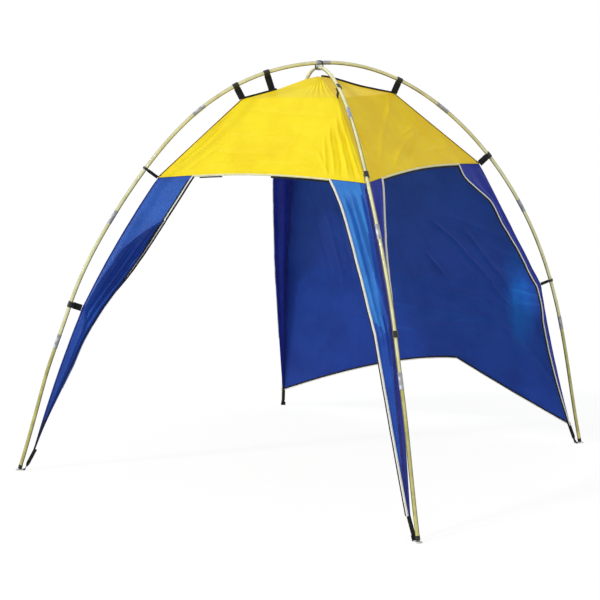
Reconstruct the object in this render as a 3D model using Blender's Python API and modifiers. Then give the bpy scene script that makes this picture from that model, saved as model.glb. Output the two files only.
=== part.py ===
"""Folding tent: a square sun shelter hung from two crossed, bent, sectioned poles."""

import math

import bmesh
import bpy
from mathutils import Matrix, Vector

# Poles: arc length and shape of half a pole, before the lean
HALF_POLE = 2.080
SECTIONS = 8
NARROWING = 0.948
FORWARD_LEAN = 0.0267
CROSSING_AHEAD = 0.0408
CROSSING_TURN = math.radians(0.61)
FRONT_BOW = -0.0834
BACK_BOW = 0.0680
FRONT_PULL = 0.031
FRONT_PULL_END = 0.68
FRONT_PULL_SKEW = 1.35
FRONT_SPREAD = 0.0135
FRONT_SPREAD_RUN = 0.15
BACK_SWAY = 0.024
BACK_SWAY_TURN = 0.45
TUBE_OD = 0.0140
TUBE_BORE = 0.0092
FIT_GAP = 0.0003
FERRULE_WALL = 0.0008
FERRULE_OD = TUBE_OD + 2 * (FIT_GAP + FERRULE_WALL)
FERRULE_LENGTH = 0.055
FERRULE_EDGE = 0.0006
FERRULE_TAPER = 0.0015
STRAIGHT_MARGIN = 0.003
END_GAP = 0.0010
CORD_OD = 0.0034
CROSSING_GAP = 0.0009
END_SLOPE = math.radians(71.9)
SHOULDER_RATIO = 0.123
TUBE_SIDES = 8
PIN_OD = 0.0056
PIN_LENGTH = 0.0045
PIN_SHOULDER = 0.0062
PLUG_LENGTH = 0.030

# Where the cloth hangs, as the arc length from the crossing and the reach of the strap
HIP_AT, HIP_REACH = 0.1635 * HALF_POLE, 0.048
BACK_HIP_AT = 0.1731 * HALF_POLE
EAVE_AT, EAVE_REACH = 0.3962 * HALF_POLE, 0.054
BACK_EAVE_AT, BACK_EAVE_REACH = 0.4038 * HALF_POLE, 0.047
KNEE_AT, KNEE_REACH = 0.6731 * HALF_POLE, 0.046
TIP_AT, TIP_REACH = 0.9587 * HALF_POLE, 0.030
SIDE_EAVE, SIDE_KNEE, SIDE_TIP = 0.013, 0.009, -0.008
CAP_AT = 0.0913 * HALF_POLE
CAP_SEAM_BACK = 0.004
PEAK_DROP = 0.046
PEAK_HOLE = 0.008
LEG_EDGE_SAG = 0.008

# Cloth
CLOTH = 0.0012
SEAM_INSET = 0.0012
WALL_INSET = 0.0016
ROOF_SAG = 0.006
ROOF_WAVE = 0.003
HEM_RISE = 0.022
HEM_INSET = 0.010
HEM_SEAM = 0.0015
LEG_SEAM = 0.0008
LEG_TIP_WIDTH = 0.011
FLAP_HEAD_RUN = 0.17
PINCH_AT = 0.62
PINCH_RUN = 0.16
BELLY_AT = 0.80
BELLY_RUN = 0.12
LEG_FOLD = 0.006
FULL_FOLD_WIDTH = 0.090
WALL_LAP = 0.0026
WALL_HEM_RISE = 0.238
WALL_HEM_CORNER = 0.66
WALL_HEM_BEND = 1.6
WALL_FOLD = 0.007
WALL_BACK = 0.0010

# Webbing straps with their hooks
WEB_WIDTH = 0.025
TWISTED_WIDTH = 0.012
WEB_THICK = 0.0018
HOOK_WALL = 0.0022
HOOK_GAP = 0.0009
HOOK_ARM = 0.0075
HOOK_SHOULDER = 0.0006
SEAM_GAP = 0.0014
CAP_SEAM_LIFT = 0.0022

# Foot tabs
TAB_WIDTH = 0.020
TAB_THICK = 0.0030
TAB_SEAM = 0.0006
TAB_BACK = 0.0052
TAB_WEB = 0.0020
TAB_BEND = 0.0055
TAB_FILLET = 0.0010
TAB_RISE = 0.0040
TAB_HEEL = -0.022
TAB_TOE = 0.014
EYELET = 0.0092

# Loop round the crossing
LOOP_WIDTH = 0.008
LOOP_THICK = 0.0015
LOOP_GAP = 0.0004
LOOP_HALF = FERRULE_OD / math.sqrt(2) + LOOP_WIDTH / 2 + LOOP_GAP
LOOP_ROUND = 0.002

NAME = "folding_tent"
CORNERS = {
    "front_left": (-1, -1),
    "front_right": (1, -1),
    "back_right": (1, 1),
    "back_left": (-1, 1),
}

# Width of each leg flap at the eave, above its tip's
FRONT_LEFT_FACE = 0.172
FRONT_LEFT_RETURN = 0.100
FRONT_RIGHT_FACE = 0.112
FRONT_RIGHT_RETURN = 0.112
BACK_RIGHT_RETURN = 0.035
BACK_LEFT_RETURN = 0.140
BACK_RIGHT_HEAD = 0.112
FRONT_LEFT_PINCH = 0.017
FRONT_LEFT_BELLY = 0.020

# Leg flaps by corner and side: that width, how fast it falls, its wider head, pinch and belly
FLAPS = {
    ("front_left", "front_right"): (FRONT_LEFT_FACE, 1.3, 0.0, FRONT_LEFT_PINCH, FRONT_LEFT_BELLY),
    ("front_left", "back_left"): (FRONT_LEFT_RETURN, 2.0, 0.0, 0.0, 0.0),
    ("front_right", "front_left"): (FRONT_RIGHT_FACE, 1.33, 0.0, 0.0, 0.0),
    ("front_right", "back_right"): (FRONT_RIGHT_RETURN, 3.2, 0.0, 0.0, 0.0),
    ("back_right", "front_right"): (BACK_RIGHT_RETURN, 0.8, BACK_RIGHT_HEAD, 0.0, 0.0),
    ("back_left", "front_left"): (BACK_LEFT_RETURN, 0.9, 0.0, 0.0, 0.0),
}

# Straps that are twisted, so that they show their edge
TWISTED = ("strap_eave_front_left", "strap_knee_back_right")


def clear_scene():
    for old in list(bpy.data.objects):
        bpy.data.objects.remove(old)
    for old in list(bpy.data.collections):
        bpy.data.collections.remove(old)


def new_collection(name):
    made = bpy.data.collections.new(name)
    bpy.context.scene.collection.children.link(made)
    return made


def material(name, colour, roughness, metallic=0.0):
    made = bpy.data.materials.new(name)
    made.use_nodes = True
    shader = made.node_tree.nodes["Principled BSDF"]
    shader.inputs["Base Color"].default_value = (*colour, 1.0)
    shader.inputs["Roughness"].default_value = roughness
    shader.inputs["Metallic"].default_value = metallic
    return made


clear_scene()
PARTS = new_collection(NAME)
CUTTERS = new_collection("cutters")
LOOKS = {
    "roof": ("yellow canopy cloth", (0.85, 0.70, 0.03), 0.70, 0.0),
    "blue": ("blue wall cloth", (0.03, 0.07, 0.36), 0.70, 0.0),
    "tube": ("fibreglass tube", (0.78, 0.73, 0.33), 0.40, 0.0),
    "ferrule": ("steel ferrule", (0.62, 0.63, 0.64), 0.35, 1.0),
    "cord": ("elastic cord", (0.70, 0.70, 0.68), 0.80, 0.0),
    "strap": ("black webbing and hook", (0.012, 0.013, 0.014), 0.75, 0.0),
    "foot": ("black foot webbing", (0.014, 0.014, 0.015), 0.80, 0.0),
    "loop": ("black rubber loop", (0.010, 0.010, 0.010), 0.65, 0.0),
}


def add(name, data, look, origin=None, turn=None, into=None):
    """One object with a material of its own; its origin may lie on a joint axis."""
    made = bpy.data.objects.new(name, data)
    (into or PARTS).objects.link(made)
    title, colour, roughness, metallic = LOOKS[look]
    data.materials.append(material(f"{title} {name}", colour, roughness, metallic))
    matrix = turn.to_4x4() if turn else Matrix.Identity(4)
    if origin is not None:
        matrix = Matrix.Translation(origin) @ matrix
    made.matrix_world = matrix
    return made


def mesh_from(name, points, faces, origin=None):
    shift = Vector(origin) if origin is not None else Vector()
    data = bpy.data.meshes.new(name)
    data.from_pydata([Vector(p) - shift for p in points], [], faces)
    work = bmesh.new()
    work.from_mesh(data)
    bmesh.ops.recalc_face_normals(work, faces=work.faces)
    work.to_mesh(data)
    work.free()
    return data


# The curve of a bent pole: radius and drop by arc length from the crossing
def slope_at(share):
    bend = math.sin(math.pi * share / 2) + SHOULDER_RATIO * math.sin(math.pi * share)
    return END_SLOPE * bend


CURVE_STEPS = 2080
CURVE = [(0.0, 0.0)]
for _step in range(CURVE_STEPS):
    _slope = slope_at((_step + 0.5) / CURVE_STEPS)
    _r, _drop = CURVE[-1]
    _length = HALF_POLE / CURVE_STEPS
    CURVE.append((_r + math.cos(_slope) * _length, _drop + math.sin(_slope) * _length))
CURVE_RADIUS, APEX = CURVE[-1]
STACK = (FERRULE_OD + CROSSING_GAP) / 2


def smooth(t):
    t = min(1.0, max(0.0, t))
    return t * t * (3 - 2 * t)


def sway(sy, share):
    """How far a pole stands out of the even curve, as the cloth and the feet pull it."""
    if sy > 0:
        return -BACK_SWAY * math.sin(math.pi * share / BACK_SWAY_TURN)
    pulled = math.sin(math.pi * min(1.0, share / FRONT_PULL_END) ** FRONT_PULL_SKEW) ** 2
    return FRONT_SPREAD * smooth((share - FRONT_PULL_END) / FRONT_SPREAD_RUN) - FRONT_PULL * pulled


def place(corner, radius, height, share):
    """A point of the mean arch in its corner: bowed in plan, leaning to the front."""
    sx, sy = CORNERS[corner]
    radius += sway(sy, share)
    turn = math.pi / 4 + CROSSING_TURN
    bow = (FRONT_BOW if sy < 0 else BACK_BOW) * (radius / CURVE_RADIUS) ** 2
    x = math.cos(turn) * radius - math.sin(turn) * bow
    y = math.sin(turn) * radius + math.cos(turn) * bow
    lean = FORWARD_LEAN * sy * 4 * share * (1 - share)
    return Vector((sx * x * NARROWING, sy * y * NARROWING - CROSSING_AHEAD, height + lean))


class Pole:
    """One whole pole as a chain of straight pieces, by arc length from the crossing."""

    def __init__(self, name, front, back, lift):
        self.name = name
        self.lift = (APEX + lift) / APEX
        ahead, behind = self.half(back), self.half(front)
        self.front, self.back = behind[-1][0], ahead[-1][0]
        self.dense = [(-s, p) for s, p in reversed(behind)] + ahead[1:]
        self.section = (self.front + self.back) / SECTIONS
        self.marks = self.stations()
        self.points = [self.on_curve(s) for s in self.marks]

    def half(self, corner):
        run, found = 0.0, []
        for i in range(0, CURVE_STEPS + 1, 10):
            r, drop = CURVE[i]
            point = place(corner, r, APEX - drop, i / CURVE_STEPS)
            point.z *= self.lift
            if found:
                run += (point - found[-1][1]).length
            found.append((run, point))
        return found

    def joint(self, k):
        return k * self.section - self.front

    def stations(self):
        zone = FERRULE_LENGTH / 2 + STRAIGHT_MARGIN
        found = [-self.front]
        for k in range(SECTIONS):
            a = self.joint(k) + (zone if k else 0)
            b = self.joint(k + 1) - (zone if k < SECTIONS - 1 else 0)
            found += [a + (b - a) * i / 5 for i in range(0 if k else 1, 6)]
        return found

    def on_curve(self, s):
        low, high = 0, len(self.dense) - 1
        while high - low > 1:
            mid = (low + high) // 2
            if self.dense[mid][0] <= s:
                low = mid
            else:
                high = mid
        (a, p), (b, q) = self.dense[low], self.dense[high]
        return p.lerp(q, (s - a) / (b - a))

    def at(self, s):
        """Position and direction at an arc length, on the chain."""
        marks, points = self.marks, self.points
        i = 0
        while i < len(marks) - 2 and s > marks[i + 1] + 1e-9:
            i += 1
        t = (s - marks[i]) / (marks[i + 1] - marks[i])
        ahead = (points[i + 1] - points[i]).normalized()
        found = points[i].lerp(points[i + 1], t)
        if abs(s - marks[i + 1]) < 1e-9 and i + 2 < len(marks):
            ahead = (ahead + (points[i + 2] - points[i + 1]).normalized()).normalized()
        return found, ahead

    def across(self, s, width):
        """Middle and direction of the chord under something as wide as this."""
        a, b = self.at(s - width / 2)[0], self.at(s + width / 2)[0]
        return (a + b) / 2, (b - a).normalized()

    def between(self, a, b):
        return [a] + [s for s in self.marks if a + 1e-6 < s < b - 1e-6] + [b]


POLES = {
    "pole_a": Pole("pole_a", "front_left", "back_right", STACK),
    "pole_b": Pole("pole_b", "front_right", "back_left", -STACK),
}


def bent_lathe(name, pole, profile, look, sides=TUBE_SIDES, origin=None):
    """A turned shape along a pole: profile points are (arc length, radius)."""
    points, rings, faces = [], [], []
    for s, radius in profile:
        middle, ahead = pole.at(s)
        side = ahead.cross(Vector((0, 0, 1))).normalized()
        up = side.cross(ahead)
        first = len(points)
        if radius == 0:
            points.append(middle)
            rings.append([first])
            continue
        for k in range(sides):
            turn = 2 * math.pi * (k + 0.5) / sides
            points.append(middle + radius * (math.cos(turn) * side + math.sin(turn) * up))
        rings.append(list(range(first, first + sides)))
    closed = len(rings[0]) > 1
    pairs = list(zip(rings, rings[1:]))
    if closed:
        pairs.append((rings[-1], rings[0]))
    for one, two in pairs:
        for k in range(sides):
            n = (k + 1) % sides
            if len(one) == 1:
                faces.append((one[0], two[n], two[k]))
            elif len(two) == 1:
                faces.append((one[k], one[n], two[0]))
            else:
                faces.append((one[k], one[n], two[n], two[k]))
    return add(name, mesh_from(name, points, faces, origin), look, origin)


def tube_profile(marks):
    outer = [(s, TUBE_OD / 2) for s in marks]
    inner = [(s, TUBE_BORE / 2) for s in reversed(marks)]
    return outer + inner


def end_profile(pole, top, sign):
    """The lowest section: a tube with a solid plug that ends in a thinner pin."""
    foot = pole.back if sign > 0 else pole.front
    shoulder = foot - PIN_SHOULDER
    low = shoulder - PLUG_LENGTH

    def marks(a, b):
        if sign > 0:
            return pole.between(a, b)
        return [-s for s in reversed(pole.between(-b, -a))]

    inner = [(sign * low, 0.0)] + [(sign * s, TUBE_BORE / 2) for s in reversed(marks(top, low))]
    outer = [(sign * s, TUBE_OD / 2) for s in marks(top, shoulder)]
    pin = [(sign * shoulder, PIN_OD / 2), (sign * (shoulder + PIN_LENGTH), PIN_OD / 2)]
    return inner + outer + pin + [(sign * (shoulder + PIN_LENGTH), 0.0)]


def ferrule_profile(middle):
    a, b = middle - FERRULE_LENGTH / 2, middle + FERRULE_LENGTH / 2
    outer, inner, edge = FERRULE_OD / 2, TUBE_OD / 2 + FIT_GAP, FERRULE_EDGE
    return [
        (a, outer - edge), (a + FERRULE_TAPER, outer), (b - FERRULE_TAPER, outer), (b, outer - edge),
        (b, inner), (a, inner),
    ]


def build_pole(pole):
    """Sections 1 to 8 run from the front foot to the back one."""
    for k in range(SECTIONS):
        name = f"{pole.name}_section_{k + 1}"
        a, b = pole.joint(k) + END_GAP / 2, pole.joint(k + 1) - END_GAP / 2
        if k == 0:
            bent_lathe(name, pole, end_profile(pole, -b, -1), "tube", origin=pole.at(b)[0])
        elif k == SECTIONS - 1:
            bent_lathe(name, pole, end_profile(pole, a, 1), "tube", origin=pole.at(a)[0])
        else:
            bent_lathe(name, pole, tube_profile(pole.between(a, b)), "tube")
    for k in range(1, SECTIONS):
        bent_lathe(f"{pole.name}_ferrule_{k}", pole, ferrule_profile(pole.joint(k)), "ferrule")
    spare = PIN_SHOULDER + PLUG_LENGTH + FIT_GAP
    a, b = spare - pole.front, pole.back - spare
    cord = [(a, 0.0)] + [(s, CORD_OD / 2) for s in pole.between(a, b)] + [(b, 0.0)]
    bent_lathe(f"{pole.name}_shock_cord", pole, cord, "cord", sides=5)


def pole_of(corner):
    """The pole that ends at a corner, and which way along it."""
    name = "pole_a" if corner in ("front_left", "back_right") else "pole_b"
    return POLES[name], CORNERS[corner][1]


def hang_point(corner, front, back):
    """Where the cloth hangs below a strap, by arc length and reach for the front and the back."""
    at, reach = back if CORNERS[corner][1] > 0 else front
    r, drop = CURVE[int(round(at / HALF_POLE * CURVE_STEPS))]
    slope = slope_at(at / HALF_POLE)
    return place(corner, r - reach * math.sin(slope), APEX - drop - reach * math.cos(slope), at / HALF_POLE)


def corner_points(front, back=None):
    return {corner: hang_point(corner, front, back or front) for corner in CORNERS}


HIP = corner_points((HIP_AT, HIP_REACH), (BACK_HIP_AT, HIP_REACH))
EAVE = corner_points((EAVE_AT, EAVE_REACH), (BACK_EAVE_AT, BACK_EAVE_REACH))
KNEE = corner_points((KNEE_AT, KNEE_REACH))
TIP = corner_points((TIP_AT, TIP_REACH))
PEAK = Vector((0, -CROSSING_AHEAD, APEX - PEAK_DROP))
for ring, offset in ((EAVE, SIDE_EAVE), (KNEE, SIDE_KNEE), (TIP, SIDE_TIP)):
    ring["front_right"] += Vector((1, 1, 0)).normalized() * offset


def corner_edge(corner, share):
    """A point on a leg's outer edge, from the eave (0) to the tip (1)."""
    eave, knee, tip = EAVE[corner], KNEE[corner], TIP[corner]
    upper, lower = (knee - eave).length, (tip - knee).length
    run = share * (upper + lower)
    if run <= upper:
        return eave.lerp(knee, run / upper)
    t = (run - upper) / lower
    inwards = Vector((-knee.x, -CROSSING_AHEAD - knee.y, 0)).normalized()
    return knee.lerp(tip, t) + inwards * LEG_EDGE_SAG * 4 * t * (1 - t)


def edge_at_height(corner, height):
    low, high = 0.0, 1.0
    for _ in range(40):
        mid = (low + high) / 2
        if corner_edge(corner, mid).z > height:
            low = mid
        else:
            high = mid
    return corner_edge(corner, low)


def cloth(name, grid, look, out, even=True):
    """A sheet from rows of points, given its thickness on the inner side."""
    rows, columns = len(grid), len(grid[0])
    points = [p for row in grid for p in row]
    faces = []
    for i in range(rows - 1):
        for j in range(columns - 1):
            a = i * columns + j
            faces.append((a, a + 1, a + columns + 1, a + columns))
    data = bpy.data.meshes.new(name)
    data.from_pydata(points, [], faces)
    made = add(name, data, look)
    middle = grid[rows // 2][columns // 2]
    normal = (grid[rows // 2 + 1][columns // 2] - middle).cross(grid[rows // 2][columns // 2 + 1] - middle)
    if normal.dot(out) > 0:
        data.flip_normals()
    solid = made.modifiers.new("thickness", "SOLIDIFY")
    solid.thickness = CLOTH
    solid.offset = -1
    solid.use_even_offset = even
    solid.use_rim = True
    return made


SIDES = {
    "front": ("front_left", "front_right"),
    "right": ("front_right", "back_right"),
    "back": ("back_right", "back_left"),
    "left": ("back_left", "front_left"),
}


def roof_gore(side):
    """One sloping side of the roof, from the peak over the hip bend to the hem."""
    one, two = SIDES[side]
    along = EAVE[two] - EAVE[one]
    out = Vector((along.y, -along.x, 0)).normalized()
    top = PEAK_HOLE / (HIP[one] - PEAK).length
    downs = [(0, top + (1 - top) * i / 3) for i in range(3)] + [(1, i / 6) for i in range(7)]
    grid = []
    for level, t in downs:
        ends = []
        for corner in (one, two):
            a, b = (PEAK, HIP[corner]) if level == 0 else (HIP[corner], EAVE[corner])
            ends.append(a.lerp(b, t))
        hem = t if level else 0.0
        inset = SEAM_INSET / (ends[1] - ends[0]).length
        row = []
        for j in range(13):
            u = inset + j / 12 * (1 - 2 * inset)
            belly = math.sin(math.pi * u)
            wave = ROOF_WAVE * math.sin(math.pi * hem) * math.sin(5 * math.pi * u) ** 2
            inward = belly * (HEM_INSET * hem ** 1.5 + ROOF_SAG * math.sin(math.pi * hem)) + wave
            rise = belly * HEM_RISE * hem ** 3
            row.append(ends[0].lerp(ends[1], u) - out * inward + Vector((0, 0, rise)))
        grid.append(row)
    cloth(f"roof_{side}", grid, "roof", out)


def hump(share, middle, run):
    return math.exp(-((share - middle) / run) ** 2)


def flap_width(corner, other, share):
    extra, taper, head, pinch, belly = FLAPS[corner, other]
    width = LEG_TIP_WIDTH + extra * (1 - share) ** taper + head * (1 - smooth(share / FLAP_HEAD_RUN))
    return width - pinch * hump(share, PINCH_AT, PINCH_RUN) + belly * hump(share, BELLY_AT, BELLY_RUN)


def flap_point(corner, other, a, share):
    """A point on a leg flap, a metres from its corner edge towards another corner."""
    base = corner_edge(corner, share)
    along = corner_edge(other, share) - base
    span = along.length
    along.normalize()
    out = Vector((along.y, -along.x, 0)).normalized()
    if out.dot(base) < 0:
        out.negate()
    width = flap_width(corner, other, share)
    t = a / width
    fold = LEG_FOLD * min(1.0, width / FULL_FOLD_WIDTH) * math.sin(math.pi * t) * math.sin(2.4 * math.pi * t)
    fold *= math.sin(math.pi * min(1.0, share * 1.25 + 0.05)) ** 0.5
    near = max(0.0, 1 - share * 8) ** 2
    bow = math.sin(math.pi * a / span)
    rise = HEM_RISE * bow * near - LEG_SEAM
    return base + along * a - out * (fold + HEM_INSET * bow * near) + Vector((0, 0, rise))


def shares(count):
    return [0.0004 + 0.9996 * (i / count) ** 1.15 for i in range(count + 1)]


def leg(corner, others):
    """One leg: two flaps round the corner edge, or one flap beside the wall."""
    grid = []
    steps = [1 - i / 6 for i in range(6)]
    for share in shares(14):
        widths = [flap_width(corner, other, share) for other in others]
        row = [flap_point(corner, others[0], widths[0] * t, share) for t in steps]
        if len(others) == 2:
            row.append(flap_point(corner, others[0], 0.0, share))
            row += [flap_point(corner, others[1], widths[1] * t, share) for t in reversed(steps)]
        else:
            row.append(flap_point(corner, others[0], WALL_LAP, share))
        grid.append(row)
    name = f"leg_{corner}" if len(others) == 2 else f"flap_{corner}"
    out = Vector((*CORNERS[corner], 0)) if len(others) == 2 else Vector((CORNERS[corner][0], 0, 0))
    cloth(name, grid, "blue", out, even=len(others) == 2)


def wall_hem(u):
    """How high the wall's hem rises, as a share: bent on the left, straight on the right."""
    if u < WALL_HEM_CORNER:
        return 1 - (1 - u / WALL_HEM_CORNER) ** WALL_HEM_BEND
    return (1 - u) / (1 - WALL_HEM_CORNER)


def wall():
    """The back wall, between the outer edges of the two back legs."""
    grid = []
    rows, columns = 14, 24
    eave = EAVE["back_left"].z
    low_end = TIP["back_left"].z
    for i in range(rows + 1):
        v = i / rows
        row = []
        for j in range(columns + 1):
            u = WALL_INSET + (1 - 2 * WALL_INSET) * j / columns
            bow = math.sin(math.pi * u)
            top = eave + HEM_RISE * bow - HEM_SEAM
            low = low_end + WALL_HEM_RISE * wall_hem(u)
            height = top + (low - top) * v
            left = edge_at_height("back_left", min(height, eave))
            right = edge_at_height("back_right", min(height, eave))
            inward = HEM_INSET * bow * max(0.0, 1 - v * 5) ** 2
            fold = WALL_FOLD * bow * math.sin(math.pi * v) ** 0.7 * (
                0.6 * math.sin(7 * math.pi * u + 1.5 * v) + 0.4 * math.sin(12 * math.pi * u * (0.7 + 0.3 * v)))
            point = left.lerp(right, u)
            row.append(Vector((point.x, point.y - inward + fold - WALL_BACK, height)))
        grid.append(row)
    cloth("wall_back", grid, "blue", Vector((0, 1, 0)))


def arc(radius, start, stop, count):
    return [(radius * math.cos(start + (stop - start) * k / count), radius * math.sin(start + (stop - start) * k / count))
            for k in range(count + 1)]


def outline(name, loops, width, look, origin, turn, into=None):
    """A flat outline given its width by extrusion on both sides."""
    data = bpy.data.curves.new(name, "CURVE")
    data.dimensions = "2D"
    data.fill_mode = "BOTH"
    data.extrude = width / 2
    for loop in loops:
        line = data.splines.new("POLY")
        line.points.add(len(loop) - 1)
        for point, (x, y) in zip(line.points, loop):
            point.co = (x, y, 0, 1)
        line.use_cyclic_u = True
    return add(name, data, look, origin, turn, into)


def hook_outline(reach):
    """Strap and hook, seen along the pole: the seam at the origin, the pole at (0, reach)."""
    inner = TUBE_OD / 2 + HOOK_GAP
    outer = inner + HOOK_WALL
    half = WEB_THICK / 2
    base = [(-half, 0.0), (-half, reach - outer)]
    low = [(-HOOK_ARM, reach - outer), (-HOOK_ARM, reach - inner)]
    inside = [(x, reach + y) for x, y in arc(inner, -math.pi / 2, math.pi / 2, 8)]
    high = [(-HOOK_ARM, reach + inner), (-HOOK_ARM, reach + outer)]
    outside = [(x, reach + y) for x, y in arc(outer, math.pi / 2, -math.pi / 2 + 0.3, 8)]
    return base + low + inside + high + outside + [(half, reach - outer - HOOK_SHOULDER), (half, 0.0)]


def strap(name, pole, s, fabric):
    """A strap from a point of the cloth to its pole, hinged at the seam."""
    width = TWISTED_WIDTH if name in TWISTED else WEB_WIDTH
    for _ in range(8):
        middle, ahead = pole.across(s, width)
        s += (fabric - middle).dot(ahead)
    middle, ahead = pole.across(s, width)
    gap = (middle - fabric) - ahead * (middle - fabric).dot(ahead)
    n = gap.normalized()
    seam = fabric + n * SEAM_GAP
    reach = (middle - seam).dot(n)
    side = ahead.cross(n)
    turn = Matrix((side, n, side.cross(n))).transposed()
    outline(name, [hook_outline(reach)], width, "strap", seam, turn)


def build_straps():
    for corner in CORNERS:
        pole, sign = pole_of(corner)
        for level, at, ring in (("hip", HIP_AT, HIP), ("eave", EAVE_AT, EAVE), ("knee", KNEE_AT, KNEE)):
            strap(f"strap_{level}_{corner}", pole, sign * at, ring[corner])
    pole, sign = pole_of("front_left")
    seam = PEAK.lerp(HIP["front_left"], (CAP_AT - CAP_SEAM_BACK) / (HIP["front_left"] - PEAK).length)
    strap("strap_cap", pole, sign * CAP_AT, seam + Vector((0, 0, CAP_SEAM_LIFT)))


def foot_tab(corner):
    """A webbing tab from the leg's tip to an eyelet under the pole's pin."""
    pole, sign = pole_of(corner)
    end = pole.back if sign > 0 else -pole.front
    shoulder, ahead = pole.at(end - sign * PIN_SHOULDER)
    ahead = ahead * sign
    hole = shoulder + ahead * (shoulder.z - TAB_THICK / 2) / -ahead.z
    out = Vector((hole.x - TIP[corner].x, hole.y - TIP[corner].y, 0)).normalized()
    up = Vector((0, 0, 1))
    turn = Matrix((out, up, out.cross(up))).transposed()
    high = TIP[corner].z - LEG_SEAM - TAB_SEAM
    top = (TIP[corner] - hole).dot(out) - TAB_BACK
    thick = TAB_WEB
    shape = [
        (top, high), (TAB_HEEL, TAB_RISE), (TAB_HEEL, 0.0), (TAB_TOE, 0.0), (TAB_TOE, TAB_THICK),
        (TAB_HEEL + thick + TAB_FILLET, TAB_THICK), (TAB_HEEL + thick, TAB_BEND), (top + thick, high),
    ]
    origin = Vector((hole.x, hole.y, 0))
    count = len(shape)
    points = [(x, y, side * TAB_WIDTH / 2) for side in (-1, 1) for x, y in shape]
    faces = [tuple(range(count)), tuple(range(count, 2 * count))]
    faces += [(k, (k + 1) % count, count + (k + 1) % count, count + k) for k in range(count)]
    made = add(f"foot_tab_{corner}", mesh_from(f"foot_tab_{corner}", points, faces), "foot", origin, turn)
    work = bmesh.new()
    bmesh.ops.create_cone(
        work, cap_ends=True, segments=24, radius1=EYELET / 2, radius2=EYELET / 2, depth=TAB_THICK * 4)
    data = bpy.data.meshes.new(f"eyelet_{corner}")
    work.to_mesh(data)
    work.free()
    cutter = bpy.data.objects.new(f"eyelet_{corner}", data)
    CUTTERS.objects.link(cutter)
    cutter.location = (hole.x, hole.y, TAB_THICK / 2)
    cutter.hide_render = True
    cutter.display_type = "WIRE"
    cut = made.modifiers.new("eyelet", "BOOLEAN")
    cut.operation = "DIFFERENCE"
    cut.object = cutter


def crossing_loop():
    """A rubber band round both ferrules where the poles cross."""
    a = POLES["pole_a"].at(0.0)[0].z
    b = POLES["pole_b"].at(0.0)[0].z
    high = a + FERRULE_OD / 2 + LOOP_GAP
    low = b - FERRULE_OD / 2 - LOOP_GAP
    middle = (high + low) / 2

    def ring(grow):
        w, h, r = LOOP_HALF + grow, (high - low) / 2 + grow, LOOP_ROUND + grow
        points = []
        for cx, cy, start in ((w - r, h - r, 0), (r - w, h - r, 1), (r - w, r - h, 2), (w - r, r - h, 3)):
            points += [(cx + x, cy + y) for x, y in arc(r, start * math.pi / 2, (start + 1) * math.pi / 2, 3)]
        return points

    turn = Matrix((Vector((1, 0, 0)), Vector((0, 0, 1)), Vector((0, -1, 0)))).transposed()
    outline("crossing_loop", [ring(LOOP_THICK), ring(0.0)], LOOP_WIDTH, "loop", Vector((0, -CROSSING_AHEAD, middle)), turn)


def main():
    for pole in POLES.values():
        build_pole(pole)
    for side in SIDES:
        roof_gore(side)
    leg("front_left", ("front_right", "back_left"))
    leg("front_right", ("front_left", "back_right"))
    leg("back_right", ("front_right",))
    leg("back_left", ("front_left",))
    wall()
    build_straps()
    for corner in CORNERS:
        foot_tab(corner)
    crossing_loop()


main()
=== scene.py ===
"""Looks of the folding tent: finished poles, cloth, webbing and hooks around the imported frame."""

import math

import bmesh
import bpy
from mathutils import Matrix, Vector, noise


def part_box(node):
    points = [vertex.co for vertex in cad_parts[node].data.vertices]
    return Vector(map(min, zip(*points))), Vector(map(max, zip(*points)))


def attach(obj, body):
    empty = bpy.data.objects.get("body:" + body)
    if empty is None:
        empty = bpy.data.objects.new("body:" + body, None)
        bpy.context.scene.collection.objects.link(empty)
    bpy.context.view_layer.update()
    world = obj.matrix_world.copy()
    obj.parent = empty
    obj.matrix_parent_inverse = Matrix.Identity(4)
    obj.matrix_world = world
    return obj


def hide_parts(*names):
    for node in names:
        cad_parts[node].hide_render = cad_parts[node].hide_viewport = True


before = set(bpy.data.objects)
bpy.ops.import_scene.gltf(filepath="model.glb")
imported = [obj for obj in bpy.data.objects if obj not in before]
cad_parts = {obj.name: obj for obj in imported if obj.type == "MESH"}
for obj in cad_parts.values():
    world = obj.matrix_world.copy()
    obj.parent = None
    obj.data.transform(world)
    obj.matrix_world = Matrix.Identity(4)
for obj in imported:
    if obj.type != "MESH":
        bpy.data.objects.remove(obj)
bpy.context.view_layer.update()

# Half a pole: arc length, bend and plan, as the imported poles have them
HALF_POLE = 2.080
SECTIONS = 8
NARROWING = 0.948
FORWARD_LEAN = 0.0267
CROSSING_AHEAD = 0.0408
CROSSING_TURN = math.radians(0.61)
FRONT_BOW = -0.0834
BACK_BOW = 0.0680
FRONT_PULL = 0.031
FRONT_PULL_END = 0.68
FRONT_PULL_SKEW = 1.35
FRONT_SPREAD = 0.0135
FRONT_SPREAD_RUN = 0.15
BACK_SWAY = 0.024
BACK_SWAY_TURN = 0.45
END_SLOPE = math.radians(71.9)
SHOULDER_RATIO = 0.123
TUBE_OD = 0.0140
TUBE_BORE = 0.0092
FERRULE_OD = 0.0162
FERRULE_LENGTH = 0.055
END_GAP = 0.0010
CROSSING_GAP = 0.0009
PIN_OD = 0.0056
PIN_LENGTH = 0.0045
PIN_SHOULDER = 0.0062
CURVE_STEPS = 2080

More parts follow.
